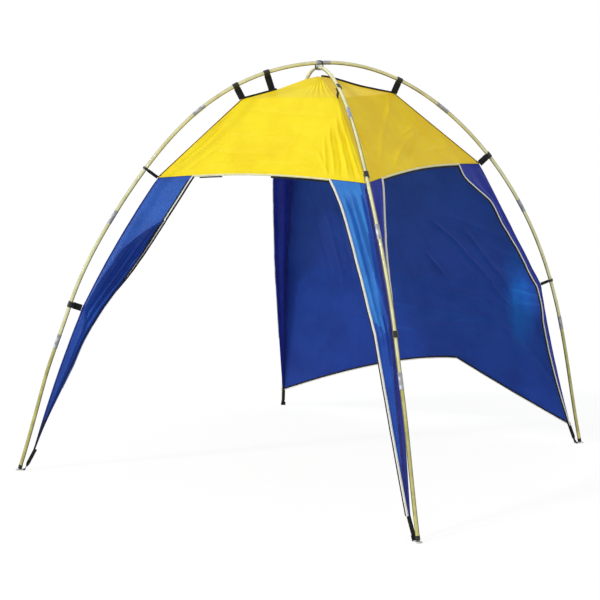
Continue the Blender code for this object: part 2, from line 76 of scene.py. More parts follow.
# Where the cloth hangs: arc length from the crossing and reach of the strap
HIP_AT, HIP_REACH = 0.1635 * HALF_POLE, 0.048
BACK_HIP_AT = 0.1731 * HALF_POLE
EAVE_AT, EAVE_REACH = 0.3962 * HALF_POLE, 0.054
BACK_EAVE_AT, BACK_EAVE_REACH = 0.4038 * HALF_POLE, 0.047
KNEE_AT, KNEE_REACH = 0.6731 * HALF_POLE, 0.046
TIP_AT, TIP_REACH = 0.9587 * HALF_POLE, 0.030
SIDE_EAVE, SIDE_KNEE, SIDE_TIP = 0.013, 0.009, -0.008
CAP_AT = 0.0913 * HALF_POLE
CAP_SEAM_BACK = 0.004
CAP_SEAM_LIFT = 0.0022
PEAK_DROP = 0.046
LEG_EDGE_SAG = 0.008
HEM_RISE = 0.022
HEM_INSET = 0.010
LEG_TIP_WIDTH = 0.006
WALL_HEM_RISE = 0.238
WALL_HEM_CORNER = 0.66
WALL_HEM_BEND = 1.6

# Cloth, tape and webbing
CLOTH = 0.0006
TUCK = 0.009
TUCK_GAP = 0.0022
PIPING = 0.0074
LEG_PIPING = {"front_left": 0.0080, "front_right": 0.0092, "back_right": 0.0098, "back_left": 0.0074}
TAPE_THICK = 0.0008
WEB_WIDTH = 0.025
TWISTED_WIDTH = 0.012
WEB_THICK = 0.0018
HOOK_WALL = 0.0022
HOOK_GAP = 0.0009
HOOK_ARM = 0.0075
HOOK_LIP = 0.0009
HOOK_GRIP = 0.0035
SEAM_GAP = 0.0014
TAB_WIDTH = 0.020
TAB_THICK = 0.0030
TAB_TOE = 0.014
TAB_HEEL = -0.022
TAB_BACK = 0.0052
TAB_WEB = 0.0020
EYELET = 0.0092
STITCH_PITCH = 0.0055

CORNERS = {"front_left": (-1, -1), "front_right": (1, -1), "back_right": (1, 1), "back_left": (-1, 1)}
SIDES = {
    "front": ("front_left", "front_right"),
    "right": ("front_right", "back_right"),
    "back": ("back_right", "back_left"),
    "left": ("back_left", "front_left"),
}
# Outlines of the flaps as they hang: share of the way down the leg, width
FLAP_OUTLINES = {
    ("front_left", "front_right"): [
        (0, 0.160), (0.20, 0.155), (0.35, 0.135), (0.60, 0.070), (0.70, 0.060), (0.90, 0.020), (1, 0.006),
    ],
    ("back_right", "front_right"): [
        (0, 0.170), (0.04, 0.180), (0.08, 0.140), (0.13, 0.080), (0.16, 0.065), (0.22, 0.070), (0.35, 0.050),
        (0.45, 0.055), (0.55, 0.030), (0.62, 0.045), (0.80, 0.040), (1, 0.010),
    ],
    ("front_right", "front_left"): [
        (0, 0.150), (0.035, 0.130), (0.10, 0.110), (0.25, 0.090), (0.50, 0.065), (0.70, 0.040), (1, 0.006),
    ],
    ("front_right", "back_right"): [
        (0, 0.120), (0.20, 0.060), (0.40, 0.030), (0.50, 0.020), (0.60, 0.020), (0.80, 0.025), (1, 0.008),
    ],
}
# Flaps that taper evenly: width at the head beyond the tip's, and the taper's power
FLAP_TAPERS = {("front_left", "back_left"): (0.100, 2.0), ("back_left", "front_left"): (0.140, 0.9)}
LEG_BELLY = (0.012, 0.0075)
TWISTED = ("strap_eave_front_left", "strap_knee_back_right")
# Blue cloth of each corner: its flaps lie towards the other corners, last the width it is cut to
LEGS = {
    "leg_front_left": ("front_left", ("front_right", "back_left"), 0.28),
    "leg_front_right": ("front_right", ("front_left", "back_right"), 0.25),
    "flap_back_right": ("back_right", ("front_right",), 0.085),
    "flap_back_left": ("back_left", ("front_left",), 0.160),
}
UP = Vector((0, 0, 1))
LIGHT = Vector((-0.42, -0.78, 0.62)).normalized()
TOWARDS_PHOTO = Vector((0.546, -0.829, 0.124))

# Folds of a roof side below its bend: across and down at both ends in percent, relative height, half
# width in mm
ROOF_CREASES = {
    "front": [
        (3, 18, 0, 75, 1.5, 8), (13, 46, 8, 80, 1.3, 8), (7, 36, 4.5, 84, -1.4, 6), (18, 62, 13, 92, 1, 8),
        (11, 15, 44, 16, -0.8, 9), (44, 18, 88, 22, -0.8, 9), (18, 44, 41, 42, 0.7, 10),
        (30, 50, 66, 48, 0.6, 10), (19, 68, 55, 71, -0.9, 8), (21, 87, 50, 81, 0.9, 9),
        (50, 81, 73, 79, 0.8, 9), (60, 62, 78, 66, 0.6, 11), (79, 68, 82, 90, 1, 6),
        (83, 52, 82.5, 92, 1.3, 6), (87, 40, 86.5, 90, 1.5, 6), (90.5, 46, 89.5, 93, -1.4, 5),
        (93.5, 30, 92.5, 93, 1.6, 6), (96.5, 44, 95.5, 94, -1.5, 5), (98.5, 18, 98, 90, 1.3, 5),
    ],
    "right": [
        (85, 5, 60, 26, 1, 9), (72, 17, 38, 48, 1.3, 10), (38, 48, 20, 78, 0.9, 11),
        (74, 36, 75, 46, 1.2, 8), (75, 46, 58, 54, 1.2, 8), (73, 52, 40, 75, 1.7, 10),
        (40, 75, 30, 90, 1.4, 10), (64, 63, 42, 83, -1.4, 9), (90, 20, 84, 60, 0.9, 12),
        (10, 15, 13, 70, -0.9, 9), (62, 80, 86, 76, 0.7, 10),
    ],
}
# Folds of the wall: across and up at both ends in cm, relative height, half width in mm
WALL_CREASES = [
    (18, 90, 27, 81, 2.6, 8), (27, 81, 41, 62, 2.8, 9), (41, 62, 49, 54, 2.4, 8), (32, 86, 46, 65, 2.4, 9),
    (46, 65, 48, 59, 2, 8), (12, 76, 18, 67, 2, 8), (9, 62, 36, 58, 1.8, 8), (36, 58, 48, 53, 2, 8),
    (10, 57, 33, 53, -1.5, 8), (33, 53, 46, 45, 1.6, 8), (-22, 62, 2, 59, 1.5, 8),
    (-12, 54, 42, 50, 1.6, 8), (5, 47, 50, 48, -1.6, 8), (42, 80, 62, 72, 1.6, 7),
    (44, 72, 64, 66, -1.6, 7), (46, 64, 66, 60, 1.8, 7), (50, 57, 68, 56, -1.6, 7),
    (52, 50, 70, 50, 1.5, 7), (60, 46, 76, 12, 2.8, 9), (52, 42, 72, 16, -2, 9), (26, 92, 50, 84, 1.2, 10),
    (-40, 102, -38, 62, 1.5, 9), (-33, 102, -32, 60, -1.5, 8), (-26, 100, -27, 66, 1.2, 9),
    (30, 44, 54, 38, 1.4, 9), (-30, 46, 10, 42, 1.2, 10),
]
OPPOSITE = {"back": "front", "left": "right"}
PANEL_DROP = 0.37
FOLD_GAIN = {"front": 0.0042, "right": 0.0036}
WALL_FOLD_GAIN = 0.0030
CROSSING = Vector((0, -CROSSING_AHEAD, 0))

# Looks
SHEEN_ROUGHNESS = 0.4
WEAVE_SCALE = 900.0
CRINKLE = 0.0036
# Painted light on the wall: size and place of the lighter patch near its right edge
PAINTED_LIGHT_SIZE = (0.075, 0.6, 0.24)
PAINTED_LIGHT_PLACE = (0.516, 0.7, 0.585)
# Painted shade on the rods: limits for faces drawn dark along the outline seen from the camera and on the
# side away from the key light
ROD_PAINTED_OUTLINE = 0.72
ROD_PAINTED_SHADE = 0.35
ROD_SHARP = math.radians(40)
SLAB_SHARP = math.radians(50)
TAPE_ROUND = 0.35
STITCH_LENGTH = 0.0032
THREAD = 0.00035

# Roof: its peak and sag, its columns of faces, and where binding and ridge tapes show
PEAK_ROUND = 0.12
PEAK_DOME = 0.013
ROOF_SAG = 0.006
ROOF_COLUMNS = {"front": 240, "right": 170, "back": 60, "left": 60}
HEM_BINDINGS = {"front": [(3, 14, 0.0026), (35, 61, 0.0040)]}
RIDGE_STARTS = {"front_left": 0.555, "back_right": 0.03, "back_left": 0.14}

# Legs and wall: where piping goes behind the cloth, radius of bindings, widths of tapes, steps of meshes
NEVER = 2.0
HIDDEN_FROM = {"front_left": 0.34, "front_right": 0.50, "back_left": -1.0}
HIDDEN_END = 0.78
BINDING = 0.0032
LEG_STEPS = 26
LEG_ROWS = [-TUCK, -TUCK / 2] + [(i / 110) ** 1.05 for i in range(111)]
CORNER_TAPES = {"front_left": 0.004, "front_right": 0.009}
WALL_ROWS = 160
WALL_COLUMNS = 230

# Tubes, foot strips, toes, crossing band and floor
TUBE_EDGE = 0.0005
STRIP_WIDTH = 0.0135
STRIP_FOOT = 0.004
TOE_BEVEL = 0.0004
TOE_ROUND = 0.006
BAND = 0.0011
BAND_TURNS = 3
BAND_STEPS = 40
BAND_CORNER = 0.62
BAND_SPREAD = 0.0056
FLOOR_REACH = 30.0
FLOOR_HEIGHT = -0.0004

# Lamps, and the camera as it was fitted to the photo
KEY_STRENGTH = 1.12
SIDE_STRENGTH = 0.5
SIDE_LIGHT = (-0.93, -0.36, 0.34)
FILL_STRENGTH = 420.0
FILL_PLACE = Vector((-1.6, -3.6, 1.0))
FILL_AIM = Vector((0.64, 0.74, 0.62))
SKY_STRENGTH = 0.67
FLOOR_GLOW = 1.08
FLOOR_SHARE = 0.80
LENS = 86.27
CAMERA_PLACE = (2.938, -4.6336, 1.3047)
CAMERA_DOWN = 7.12
CAMERA_TURN = 33.36


def srgb(red, green, blue):
    """A colour given in 0 to 255 display values, as linear values."""
    found = []
    for value in (red, green, blue):
        share = value / 255
        found.append(share / 12.92 if share <= 0.04045 else ((share + 0.055) / 1.055) ** 2.4)
    return tuple(found)


def smooth(t):
    t = min(1.0, max(0.0, t))
    return t * t * (3 - 2 * t)


# Pole curve
def slope_at(share):
    bend = math.sin(math.pi * share / 2) + SHOULDER_RATIO * math.sin(math.pi * share)
    return END_SLOPE * bend


def bent_curve():
    found = [(0.0, 0.0)]
    length = HALF_POLE / CURVE_STEPS
    for step in range(CURVE_STEPS):
        slope = slope_at((step + 0.5) / CURVE_STEPS)
        r, drop = found[-1]
        found.append((r + math.cos(slope) * length, drop + math.sin(slope) * length))
    return found


CURVE = bent_curve()
CURVE_RADIUS, APEX = CURVE[-1]
STACK = (FERRULE_OD + CROSSING_GAP) / 2


def sway(sy, share):
    if sy > 0:
        return -BACK_SWAY * math.sin(math.pi * share / BACK_SWAY_TURN)
    pulled = math.sin(math.pi * min(1.0, share / FRONT_PULL_END) ** FRONT_PULL_SKEW) ** 2
    return FRONT_SPREAD * smooth((share - FRONT_PULL_END) / FRONT_SPREAD_RUN) - FRONT_PULL * pulled


def place(corner, radius, height, share):
    """A point of the mean arch in its corner: bowed in plan, leaning to the front."""
    sx, sy = CORNERS[corner]
    radius += sway(sy, share)
    turn = math.pi / 4 + CROSSING_TURN
    bow = (FRONT_BOW if sy < 0 else BACK_BOW) * (radius / CURVE_RADIUS) ** 2
    x = math.cos(turn) * radius - math.sin(turn) * bow
    y = math.sin(turn) * radius + math.cos(turn) * bow
    lean = FORWARD_LEAN * sy * 4 * share * (1 - share)
    return Vector((sx * x * NARROWING, sy * y * NARROWING - CROSSING_AHEAD, height + lean))


class Pole:
    """One whole pole as a smooth line, by arc length from the crossing."""

    def __init__(self, name, front, back, lift):
        self.name = name
        self.lift = (APEX + lift) / APEX
        ahead, behind = self.half(back), self.half(front)
        self.front, self.back = behind[-1][0], ahead[-1][0]
        self.dense = [(-s, p) for s, p in reversed(behind)] + ahead[1:]
        self.section = (self.front + self.back) / SECTIONS

    def half(self, corner):
        run, found = 0.0, []
        for i in range(0, CURVE_STEPS + 1, 10):
            r, drop = CURVE[i]
            point = place(corner, r, APEX - drop, i / CURVE_STEPS)
            point.z *= self.lift
            if found:
                run += (point - found[-1][1]).length
            found.append((run, point))
        return found

    def joint(self, k):
        return k * self.section - self.front

    def point(self, s):
        low, high = 0, len(self.dense) - 1
        while high - low > 1:
            mid = (low + high) // 2
            if self.dense[mid][0] <= s:
                low = mid
            else:
                high = mid
        (a, p), (b, q) = self.dense[low], self.dense[high]
        return p.lerp(q, (s - a) / (b - a))

    def at(self, s):
        """Position and direction at an arc length."""
        ahead = (self.point(s + 0.004) - self.point(s - 0.004)).normalized()
        return self.point(s), ahead


POLES = {
    "pole_a": Pole("pole_a", "front_left", "back_right", STACK),
    "pole_b": Pole("pole_b", "front_right", "back_left", -STACK),
}


def pole_of(corner):
    name = "pole_a" if corner in ("front_left", "back_right") else "pole_b"
    return POLES[name], CORNERS[corner][1]


def hang_point(corner, front, back):
    at, reach = back if CORNERS[corner][1] > 0 else front
    r, drop = CURVE[int(round(at / HALF_POLE * CURVE_STEPS))]
    slope = slope_at(at / HALF_POLE)
    return place(corner, r - reach * math.sin(slope), APEX - drop - reach * math.cos(slope), at / HALF_POLE)


def corner_points(front, back=None):
    return {corner: hang_point(corner, front, back or front) for corner in CORNERS}


HIP = corner_points((HIP_AT, HIP_REACH), (BACK_HIP_AT, HIP_REACH))
EAVE = corner_points((EAVE_AT, EAVE_REACH), (BACK_EAVE_AT, BACK_EAVE_REACH))
KNEE = corner_points((KNEE_AT, KNEE_REACH))
TIP = corner_points((TIP_AT, TIP_REACH))
PEAK = Vector((0, -CROSSING_AHEAD, APEX - PEAK_DROP))
for ring, offset in ((EAVE, SIDE_EAVE), (KNEE, SIDE_KNEE), (TIP, SIDE_TIP)):
    ring["front_right"] += Vector((1, 1, 0)).normalized() * offset


def corner_edge(corner, share):
    """A point on a leg's outer edge, from the eave (0) to the tip (1)."""
    eave, knee, tip = EAVE[corner], KNEE[corner], TIP[corner]
    upper, lower = (knee - eave).length, (tip - knee).length
    run = share * (upper + lower)
    inwards = Vector((-knee.x, -CROSSING_AHEAD - knee.y, 0)).normalized()
    above, below = LEG_BELLY if corner == "front_left" else (0, -LEG_EDGE_SAG)
    if run <= upper:
        t = run / upper
        return eave.lerp(knee, t) - inwards * above * 4 * t * (1 - t)
    t = (run - upper) / lower
    return knee.lerp(tip, t) - inwards * below * 4 * t * (1 - t)


def edge_at_height(corner, height):
    low, high = 0.0, 1.0
    for _ in range(30):
        mid = (low + high) / 2
        if corner_edge(corner, mid).z > height:
            low = mid
        else:
            high = mid
    return corner_edge(corner, low)


# Node materials
def shader_of(made):
    return made.node_tree.nodes["Principled BSDF"]


def set_inputs(found, inputs):
    """Constants on sockets, named with _ for a space."""
    for name, value in inputs.items():
        found.inputs[name.replace("_", " ")].default_value = value


def new_material(name, colour, roughness, **inputs):
    made = bpy.data.materials.new(name)
    made.use_nodes = True
    set_inputs(shader_of(made), dict(Base_Color=(*colour, 1.0), Roughness=roughness, **inputs))
    return made


def node(owner, kind, **inputs):
    found = owner.node_tree.nodes.new(kind)
    set_inputs(found, inputs)
    return found


def link(owner, a, b):
    owner.node_tree.links.new(a, b)


def place_texture(made, scale=(1, 1, 1), turn=(0, 0, 0)):
    mapping = node(made, "ShaderNodeMapping", Scale=scale, Rotation=turn)
    link(made, node(made, "ShaderNodeTexCoord").outputs["Object"], mapping.inputs["Vector"])
    return mapping.outputs["Vector"]


def noise_texture(made, where, scale, detail=3.0, roughness=0.5, distortion=0.0):
    found = node(made, "ShaderNodeTexNoise", Scale=scale, Detail=detail, Roughness=roughness,
                 Distortion=distortion)
    link(made, where, found.inputs["Vector"])
    return found.outputs["Fac"]


def wave_texture(made, where, scale, direction):
    found = node(made, "ShaderNodeTexWave", Scale=scale)
    found.wave_type = "BANDS"
    found.bands_direction = direction
    link(made, where, found.inputs["Vector"])
    return found.outputs["Fac"]


def ramp(made, value, low, deep, high, pale):
    """A colour that runs from deep to pale while the value runs from low to high."""
    found = node(made, "ShaderNodeValToRGB")
    for element, position, colour in zip(found.color_ramp.elements, (low, high), (deep, pale)):
        element.position = position
        element.color = (*colour, 1.0)
    link(made, value, found.inputs["Fac"])
    return found.outputs["Color"]


def stain(made, value, low, deep, high, pale):
    link(made, ramp(made, value, low, deep, high, pale), shader_of(made).inputs["Base Color"])


def combine(made, a, b, operation="ADD", scale_b=None):
    if scale_b is not None:
        b = combine(made, b, scale_b, "MULTIPLY")
    found = node(made, "ShaderNodeMath")
    found.operation = operation
    link(made, a, found.inputs[0])
    if isinstance(b, float):
        found.inputs[1].default_value = b
    else:
        link(made, b, found.inputs[1])
    return found.outputs["Value"]


def bump(made, height, distance, strength):
    found = node(made, "ShaderNodeBump", Distance=distance, Strength=strength)
    link(made, height, found.inputs["Height"])
    link(made, found.outputs["Normal"], shader_of(made).inputs["Normal"])


def roughen(made, value, low, high):
    found = node(made, "ShaderNodeMapRange", To_Min=low, To_Max=high)
    link(made, value, found.inputs["Value"])
    link(made, found.outputs["Result"], shader_of(made).inputs["Roughness"])


def cloth_look(name, colour, deep, roughness, sheen, specular=0.2, gleam=(1, 1, 1)):
    """Light coated taffeta: fine weave, small crinkles, uneven dye."""
    made = new_material(name, colour, roughness, Sheen_Weight=sheen, Sheen_Roughness=SHEEN_ROUGHNESS,
                        Specular_IOR_Level=specular, Specular_Tint=(*gleam, 1.0))
    where = place_texture(made)
    patches = noise_texture(made, where, 9.0, detail=4.0, roughness=0.55)
    stain(made, patches, 0.30, deep, 0.62, colour)
    roughen(made, noise_texture(made, where, 30.0), roughness - 0.07, roughness + 0.07)
    stretched = place_texture(made, (1.0, 1.0, 0.55))
    large = noise_texture(made, stretched, 24.0, detail=4.0, roughness=0.55, distortion=0.6)
    small = noise_texture(made, where, 95.0, roughness=0.6, distortion=0.4)
    warp = wave_texture(made, where, WEAVE_SCALE, "X")
    weft = wave_texture(made, where, WEAVE_SCALE, "Z")
    height = combine(made, large, small, scale_b=0.22)
    height = combine(made, height, combine(made, warp, weft), scale_b=0.012)
    bump(made, height, CRINKLE, 0.75)
    return made


def tape_look(name, colour, roughness=0.8, ribs=420.0, sheen=0.03):
    """Woven tape or webbing: cross ribs, fuzz and light wear."""
    made = new_material(name, colour, roughness, Sheen_Weight=sheen, Sheen_Roughness=SHEEN_ROUGHNESS,
                        Specular_IOR_Level=0.2)
    where = place_texture(made, turn=(0.3, 0.5, 0.8))
    ribbing = combine(made, wave_texture(made, where, ribs, "X"), wave_texture(made, where, ribs, "Y"))
    fuzz = noise_texture(made, where, 700.0, detail=2.0)
    worn = tuple(min(1.0, c * 1.8 + 0.006) for c in colour)
    stain(made, noise_texture(made, where, 60.0), 0.42, colour, 0.78, worn)
    bump(made, combine(made, ribbing, fuzz, scale_b=0.6), 0.0004, 0.8)
    return made


def fibreglass_look(name, pale, deep):
    """Pultruded rod: faint long fibres under a clear resin skin."""
    made = new_material(name, pale, 0.32, Coat_Weight=0.35)
    where = place_texture(made)
    fibres = noise_texture(made, where, 160.0, roughness=0.6, distortion=0.3)
    bands = noise_texture(made, where, 21.0, detail=2.0)
    stain(made, combine(made, bands, fibres, scale_b=0.45), 0.50, deep, 0.86, pale)
    roughen(made, fibres, 0.25, 0.42)
    bump(made, fibres, 0.0002, 0.5)
    return made


def steel_look(name, colour, roughness):
    """Brushed metal with duller spots."""
    made = new_material(name, colour, roughness, Metallic=1.0)
    where = place_texture(made)
    brushing = noise_texture(made, where, 420.0)
    dull = tuple(c * 0.7 for c in colour)
    stain(made, noise_texture(made, where, 45.0), 0.35, dull, 0.65, colour)
    roughen(made, brushing, roughness - 0.08, roughness + 0.12)
    bump(made, brushing, 0.00015, 0.5)
    return made


def plastic_look(name, colour, roughness):
    """Moulded plastic or rubber: fine grain and paler scuffs."""
    made = new_material(name, colour, roughness)
    where = place_texture(made)
    grain = noise_texture(made, where, 900.0, detail=2.0)
    scuffs = noise_texture(made, where, 130.0, detail=4.0)
    pale = tuple(min(1.0, c * 1.7 + 0.004) for c in colour)
    stain(made, scuffs, 0.5, colour, 0.85, pale)
    roughen(made, scuffs, roughness - 0.08, roughness + 0.1)
    bump(made, grain, 0.00012, 0.6)
    return made


def wall_look():
    """The blue taffeta with painted light: a lighter patch near the wall's right edge, broken by slanted
    streaks.
    """
    made = cloth_look("wall taffeta with painted light", *BLUE_DYE)
    base = shader_of(made).inputs["Base Color"]
    plain = base.links[0].from_socket
    mapping = place_texture(made, PAINTED_LIGHT_SIZE)
    mapping.node.vector_type = "TEXTURE"
    mapping.node.inputs["Location"].default_value = PAINTED_LIGHT_PLACE
    ball = node(made, "ShaderNodeTexGradient")
    ball.gradient_type = "SPHERICAL"
    link(made, mapping, ball.inputs["Vector"])
    slanted = place_texture(made, (1.0, 1.0, 0.22), (0, 0.55, 0))
    streaks = noise_texture(made, slanted, 26.0, detail=2.0, distortion=0.2)
    streaks = ramp(made, streaks, 0.34, (0.42, 0.42, 0.42), 0.66, (1, 1, 1))
    # Painted light: the lighter blue is mixed in where the ball and the streaks allow
    painted_light = combine(made, combine(made, ball.outputs["Fac"], 1.05, "MULTIPLY"), streaks, "MULTIPLY")
    mix = node(made, "ShaderNodeMixRGB", Color2=(*srgb(16, 100, 190), 1.0))
    link(made, painted_light, mix.inputs["Fac"])
    link(made, plain, mix.inputs["Color1"])
    link(made, mix.outputs["Color"], base)
    return made


YELLOW = cloth_look("yellow taffeta", srgb(249, 225, 20), srgb(244, 214, 12), 0.55, 0.04)
# Painted shade: a more orange copy of the yellow for the right roof side, which lies in shade
PAINTED_SHADE_YELLOW = cloth_look("warm yellow taffeta", srgb(252, 217, 12), srgb(247, 206, 8), 0.55, 0.04)
BLUE_DYE = (srgb(35, 52, 146), srgb(32, 40, 130), 0.47, 0.02, 1.0, (0.05, 0.42, 1.0))
BLUE = cloth_look("blue taffeta", *BLUE_DYE)
# Wall taffeta with a patch of painted light
WALL_BLUE_PAINTED_LIGHT = wall_look()
DEEP_BLUE = cloth_look("deep blue taffeta", srgb(35, 52, 158), srgb(28, 43, 144), 0.6, 0.0, 0.22)
# Painted light: a lighter copy of the blue for the lit part of the right leg
PAINTED_LIGHT_BLUE = cloth_look("blue taffeta with painted light", srgb(45, 98, 182), srgb(38, 82, 168), 0.45, 0.02, 1.0,
                      (0.10, 0.60, 1.0))
CREAM = tape_look("cream piping", srgb(255, 252, 238), 0.6, 500.0, 0.3)
HEM_CREAM = tape_look("pale yellow piping", srgb(254, 248, 176), 0.6, 500.0, 0.3)
BLACK_TAPE = tape_look("black tape", srgb(24, 24, 26), 0.7)
NAVY_TAPE = tape_look("navy seam binding", srgb(34, 36, 104), 0.7)
THREAD_YELLOW = tape_look("yellow thread", srgb(225, 195, 30), 0.6)
THREAD_BLUE = tape_look("blue thread", srgb(30, 45, 120), 0.6)
WEBBING = tape_look("black webbing", srgb(22, 23, 24), 0.72, 300.0)
HOOK_PLASTIC = plastic_look("black moulded hook", srgb(20, 21, 22), 0.42)
RUBBER = plastic_look("black rubber", srgb(18, 18, 18), 0.6)
PALE_ROD = fibreglass_look("pale fibreglass", srgb(238, 234, 178), srgb(214, 208, 142))
# Painted shade: a dark copy of the rod colour, for rod faces on the outline and on the side away from the
# key light
PAINTED_SHADE_ROD = fibreglass_look("fibreglass with painted shade", srgb(118, 112, 58), srgb(98, 92, 46))
FOOT_ROD = fibreglass_look("olive fibreglass", srgb(206, 200, 116), srgb(168, 160, 80))
STEEL = steel_look("ferrule steel", (0.42, 0.43, 0.44), 0.5)
RIDGE_BROWN = tape_look("brown binding", srgb(128, 84, 28), 0.7)
PALE_WEBBING = tape_look("pale webbing", srgb(226, 226, 218), 0.8, 300.0)
BRASS = steel_look("eyelet metal", (0.55, 0.53, 0.48), 0.35)
ELASTIC = tape_look("elastic cord", srgb(215, 215, 205), 0.7, 600.0)


# Meshes
def new_object(name, data):
    made = bpy.data.objects.new(name, data)
    bpy.context.scene.collection.objects.link(made)
    return made


def dress(body, slot, *pieces):
    """Attach each piece to the body it rides; the colour slot is not used."""
    for piece in pieces:
        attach(piece, body)


def finish_mesh(name, points, faces, look, smooth_shade=True):
    data = bpy.data.meshes.new(name)
    data.from_pydata(points, [], faces)
    data.materials.append(look)
    if smooth_shade:
        data.shade_smooth()
    return new_object(name, data)


def band_faces(first, count, closed=True):
    """Faces between a row of points and the next row."""
    faces = []
    for a in range(first, first + count - (0 if closed else 1)):
        b = first + (a - first + 1) % count
        faces.append((a, b, b + count, a + count))
    return faces


def face_outwards(made, capped=0, weld=0.0):
    """Turn all normals out, after capping the first points or joining those that meet."""
    work = bmesh.new()
    work.from_mesh(made.data)
    if capped:
        work.verts.ensure_lookup_table()
        work.faces.new([work.verts[k] for k in range(capped)])
    if weld:
        bmesh.ops.remove_doubles(work, verts=work.verts, dist=weld)
    bmesh.ops.recalc_face_normals(work, faces=work.faces)
    work.to_mesh(made.data)
    work.free()


def grid_sheet(name, rows, look, closed=False, inwards=-1):
    """A sheet from rows of points; thickness goes to the inner side."""
    count = len(rows[0])
    faces = [face for i in range(len(rows) - 1) for face in band_faces(i * count, count, closed)]
    made = finish_mesh(name, [p for row in rows for p in row], faces, look)
    solid = made.modifiers.new("thickness", "SOLIDIFY")
    solid.thickness = CLOTH
    solid.offset = inwards
    return made


def paint_rod_shade(made, pole, profile, sides):
    """Painted shade: darker faces along a rod's outline as seen from the camera, and on its side turned away
    from the key light.
    """
    made.data.materials.append(PAINTED_SHADE_ROD)
    for face in made.data.polygons:
        _, ahead = pole.at(profile[face.index // sides][0])
        across = (TOWARDS_PHOTO - ahead * TOWARDS_PHOTO.dot(ahead)).normalized()
        outline = abs(face.normal.dot(across)) < ROD_PAINTED_OUTLINE
        face.material_index = int(outline or face.normal.dot(LIGHT) < -ROD_PAINTED_SHADE)


def lathe_along(name, pole, profile, look, sides=20):
    """A turned shape along a pole: profile points are (arc length, radius), a closed ring or capped ends."""
    points, rings, faces = [], [], []
    for s, radius in profile:
        middle, ahead = pole.at(s)
        side = ahead.cross(UP).normalized()
        up = side.cross(ahead)
        first = len(points)
        if radius == 0:
            points.append(middle)
            rings.append([first])
            continue
        for k in range(sides):
            turn = 2 * math.pi * k / sides
            points.append(middle + radius * (math.cos(turn) * side + math.sin(turn) * up))
        rings.append(list(range(first, first + sides)))
    pairs = list(zip(rings, rings[1:]))
    if len(rings[0]) > 1:
        pairs.append((rings[-1], rings[0]))
    for one, two in pairs:
        for k in range(sides):
            n = (k + 1) % sides
            if len(one) == 1:
                faces.append((one[0], two[n], two[k]))
            elif len(two) == 1:
                faces.append((one[k], one[n], two[0]))
            else:
                faces.append((one[k], one[n], two[n], two[k]))
    made = finish_mesh(name, points, faces, look)
    face_outwards(made)
    made.data.set_sharp_from_angle(angle=ROD_SHARP)
    # Fibreglass rods get painted shade
    if look in (PALE_ROD, FOOT_ROD):
        paint_rod_shade(made, pole, profile, sides)
    return made


def add_line(data, points):
    line = data.splines.new("POLY")
    line.points.add(len(points) - 1)
    for found, p in zip(line.points, points):
        found.co = (*p, 1)
    return line


def cord_line(name, points, radius, look):
    """A round line through points, with closed ends."""
    data = bpy.data.curves.new(name, "CURVE")
    data.dimensions = "3D"
    data.bevel_depth = radius
    data.bevel_resolution = 3
    data.use_fill_caps = True
    add_line(data, points).use_smooth = True
    data.materials.append(look)
    return new_object(name, data)


def tape_line(name, points, normals, width, thickness, look, lift):
    """A flat tape along points, lying on a surface with the given normals."""
    rows, faces = [], []
    last = len(points) - 1
    edge = TAPE_ROUND * thickness
    for i, (p, n) in enumerate(zip(points, normals)):
        ahead = (points[min(i + 1, last)] - points[max(i - 1, 0)]).normalized()
        side = ahead.cross(n).normalized()
        top = p + n * (lift + thickness)
        inset = width / 2 - edge
        rows += [
            top - side * inset, top + side * inset,
            p + n * (lift + edge) + side * width / 2, p + n * lift + side * inset,
            p + n * lift - side * inset, p + n * (lift + edge) - side * width / 2,
        ]
    for i in range(last):
        faces += band_faces(i * 6, 6)
    faces += [tuple(range(5, -1, -1)), tuple(range(last * 6, last * 6 + 6))]
    return finish_mesh(name, rows, faces, look, smooth_shade=False)


def stitches(name, runs, look):
    """Short thread stitches along several runs of (point, normal)."""
    points, faces = [], []
    shape = ((-STITCH_LENGTH / 2, 0.4), (0.0, 1.0), (STITCH_LENGTH / 2, 0.4))
    for run in runs:
        left = 0.0
        for (p, n), (q, _) in zip(run, run[1:]):
            step = (q - p).length
            if step < 1e-9:
                continue
            ahead = (q - p) / step
            side = ahead.cross(n).normalized()
            while left < step:
                middle = p + ahead * left + n * THREAD * 0.6
                first = len(points)
                for along, grow in shape:
                    lower = middle + ahead * along - n * THREAD * (1.2 if grow < 1 else 0.0)
                    wide, high = side * THREAD * grow, n * THREAD * grow
                    points += [lower + wide, lower + high, lower - wide]
                faces += band_faces(first, 3) + band_faces(first + 3, 3)
                faces += [(first + 2, first + 1, first), (first + 6, first + 7, first + 8)]
                left += STITCH_PITCH
            left -= step
    return finish_mesh(name, points, faces, look)


# Canopy
def side_out(side):
    one, two = SIDES[side]
    along = EAVE[two] - EAVE[one]
    return Vector((along.y, -along.x, 0)).normalized()


def roof_base(side, v, u):
    """A point of the canopy: v runs from the peak (0) over the hip bend (1) to the hem (2)."""
    ends = []
    for corner in SIDES[side]:
        ends.append(PEAK.lerp(HIP[corner], v) if v <= 1 else HIP[corner].lerp(EAVE[corner], v - 1))
    hem = max(0.0, v - 1)
    if v < 1:
        round_off = (PEAK.z - HIP["front_left"].z) * (math.hypot(v, PEAK_ROUND) - v)
        for end in ends:
            end.z += (PEAK_DOME * (1 - smooth(v / 0.62)) - round_off) * smooth((1 - v) / 0.2)
    belly = math.sin(math.pi * u)
    inward = belly * (HEM_INSET * hem ** 1.5 + ROOF_SAG * math.sin(math.pi * hem))
    return ends[0].lerp(ends[1], u) - side_out(side) * inward + UP * (belly * HEM_RISE * hem ** 3)


def panel_place(side, u, h):
    """Metres across and down a roof side, from its fractions."""
    one, two = SIDES[side]
    wide = (HIP[two] - HIP[one]).length * (1 - h) + (EAVE[two] - EAVE[one]).length * h
    return (u - 0.5) * wide, h * PANEL_DROP


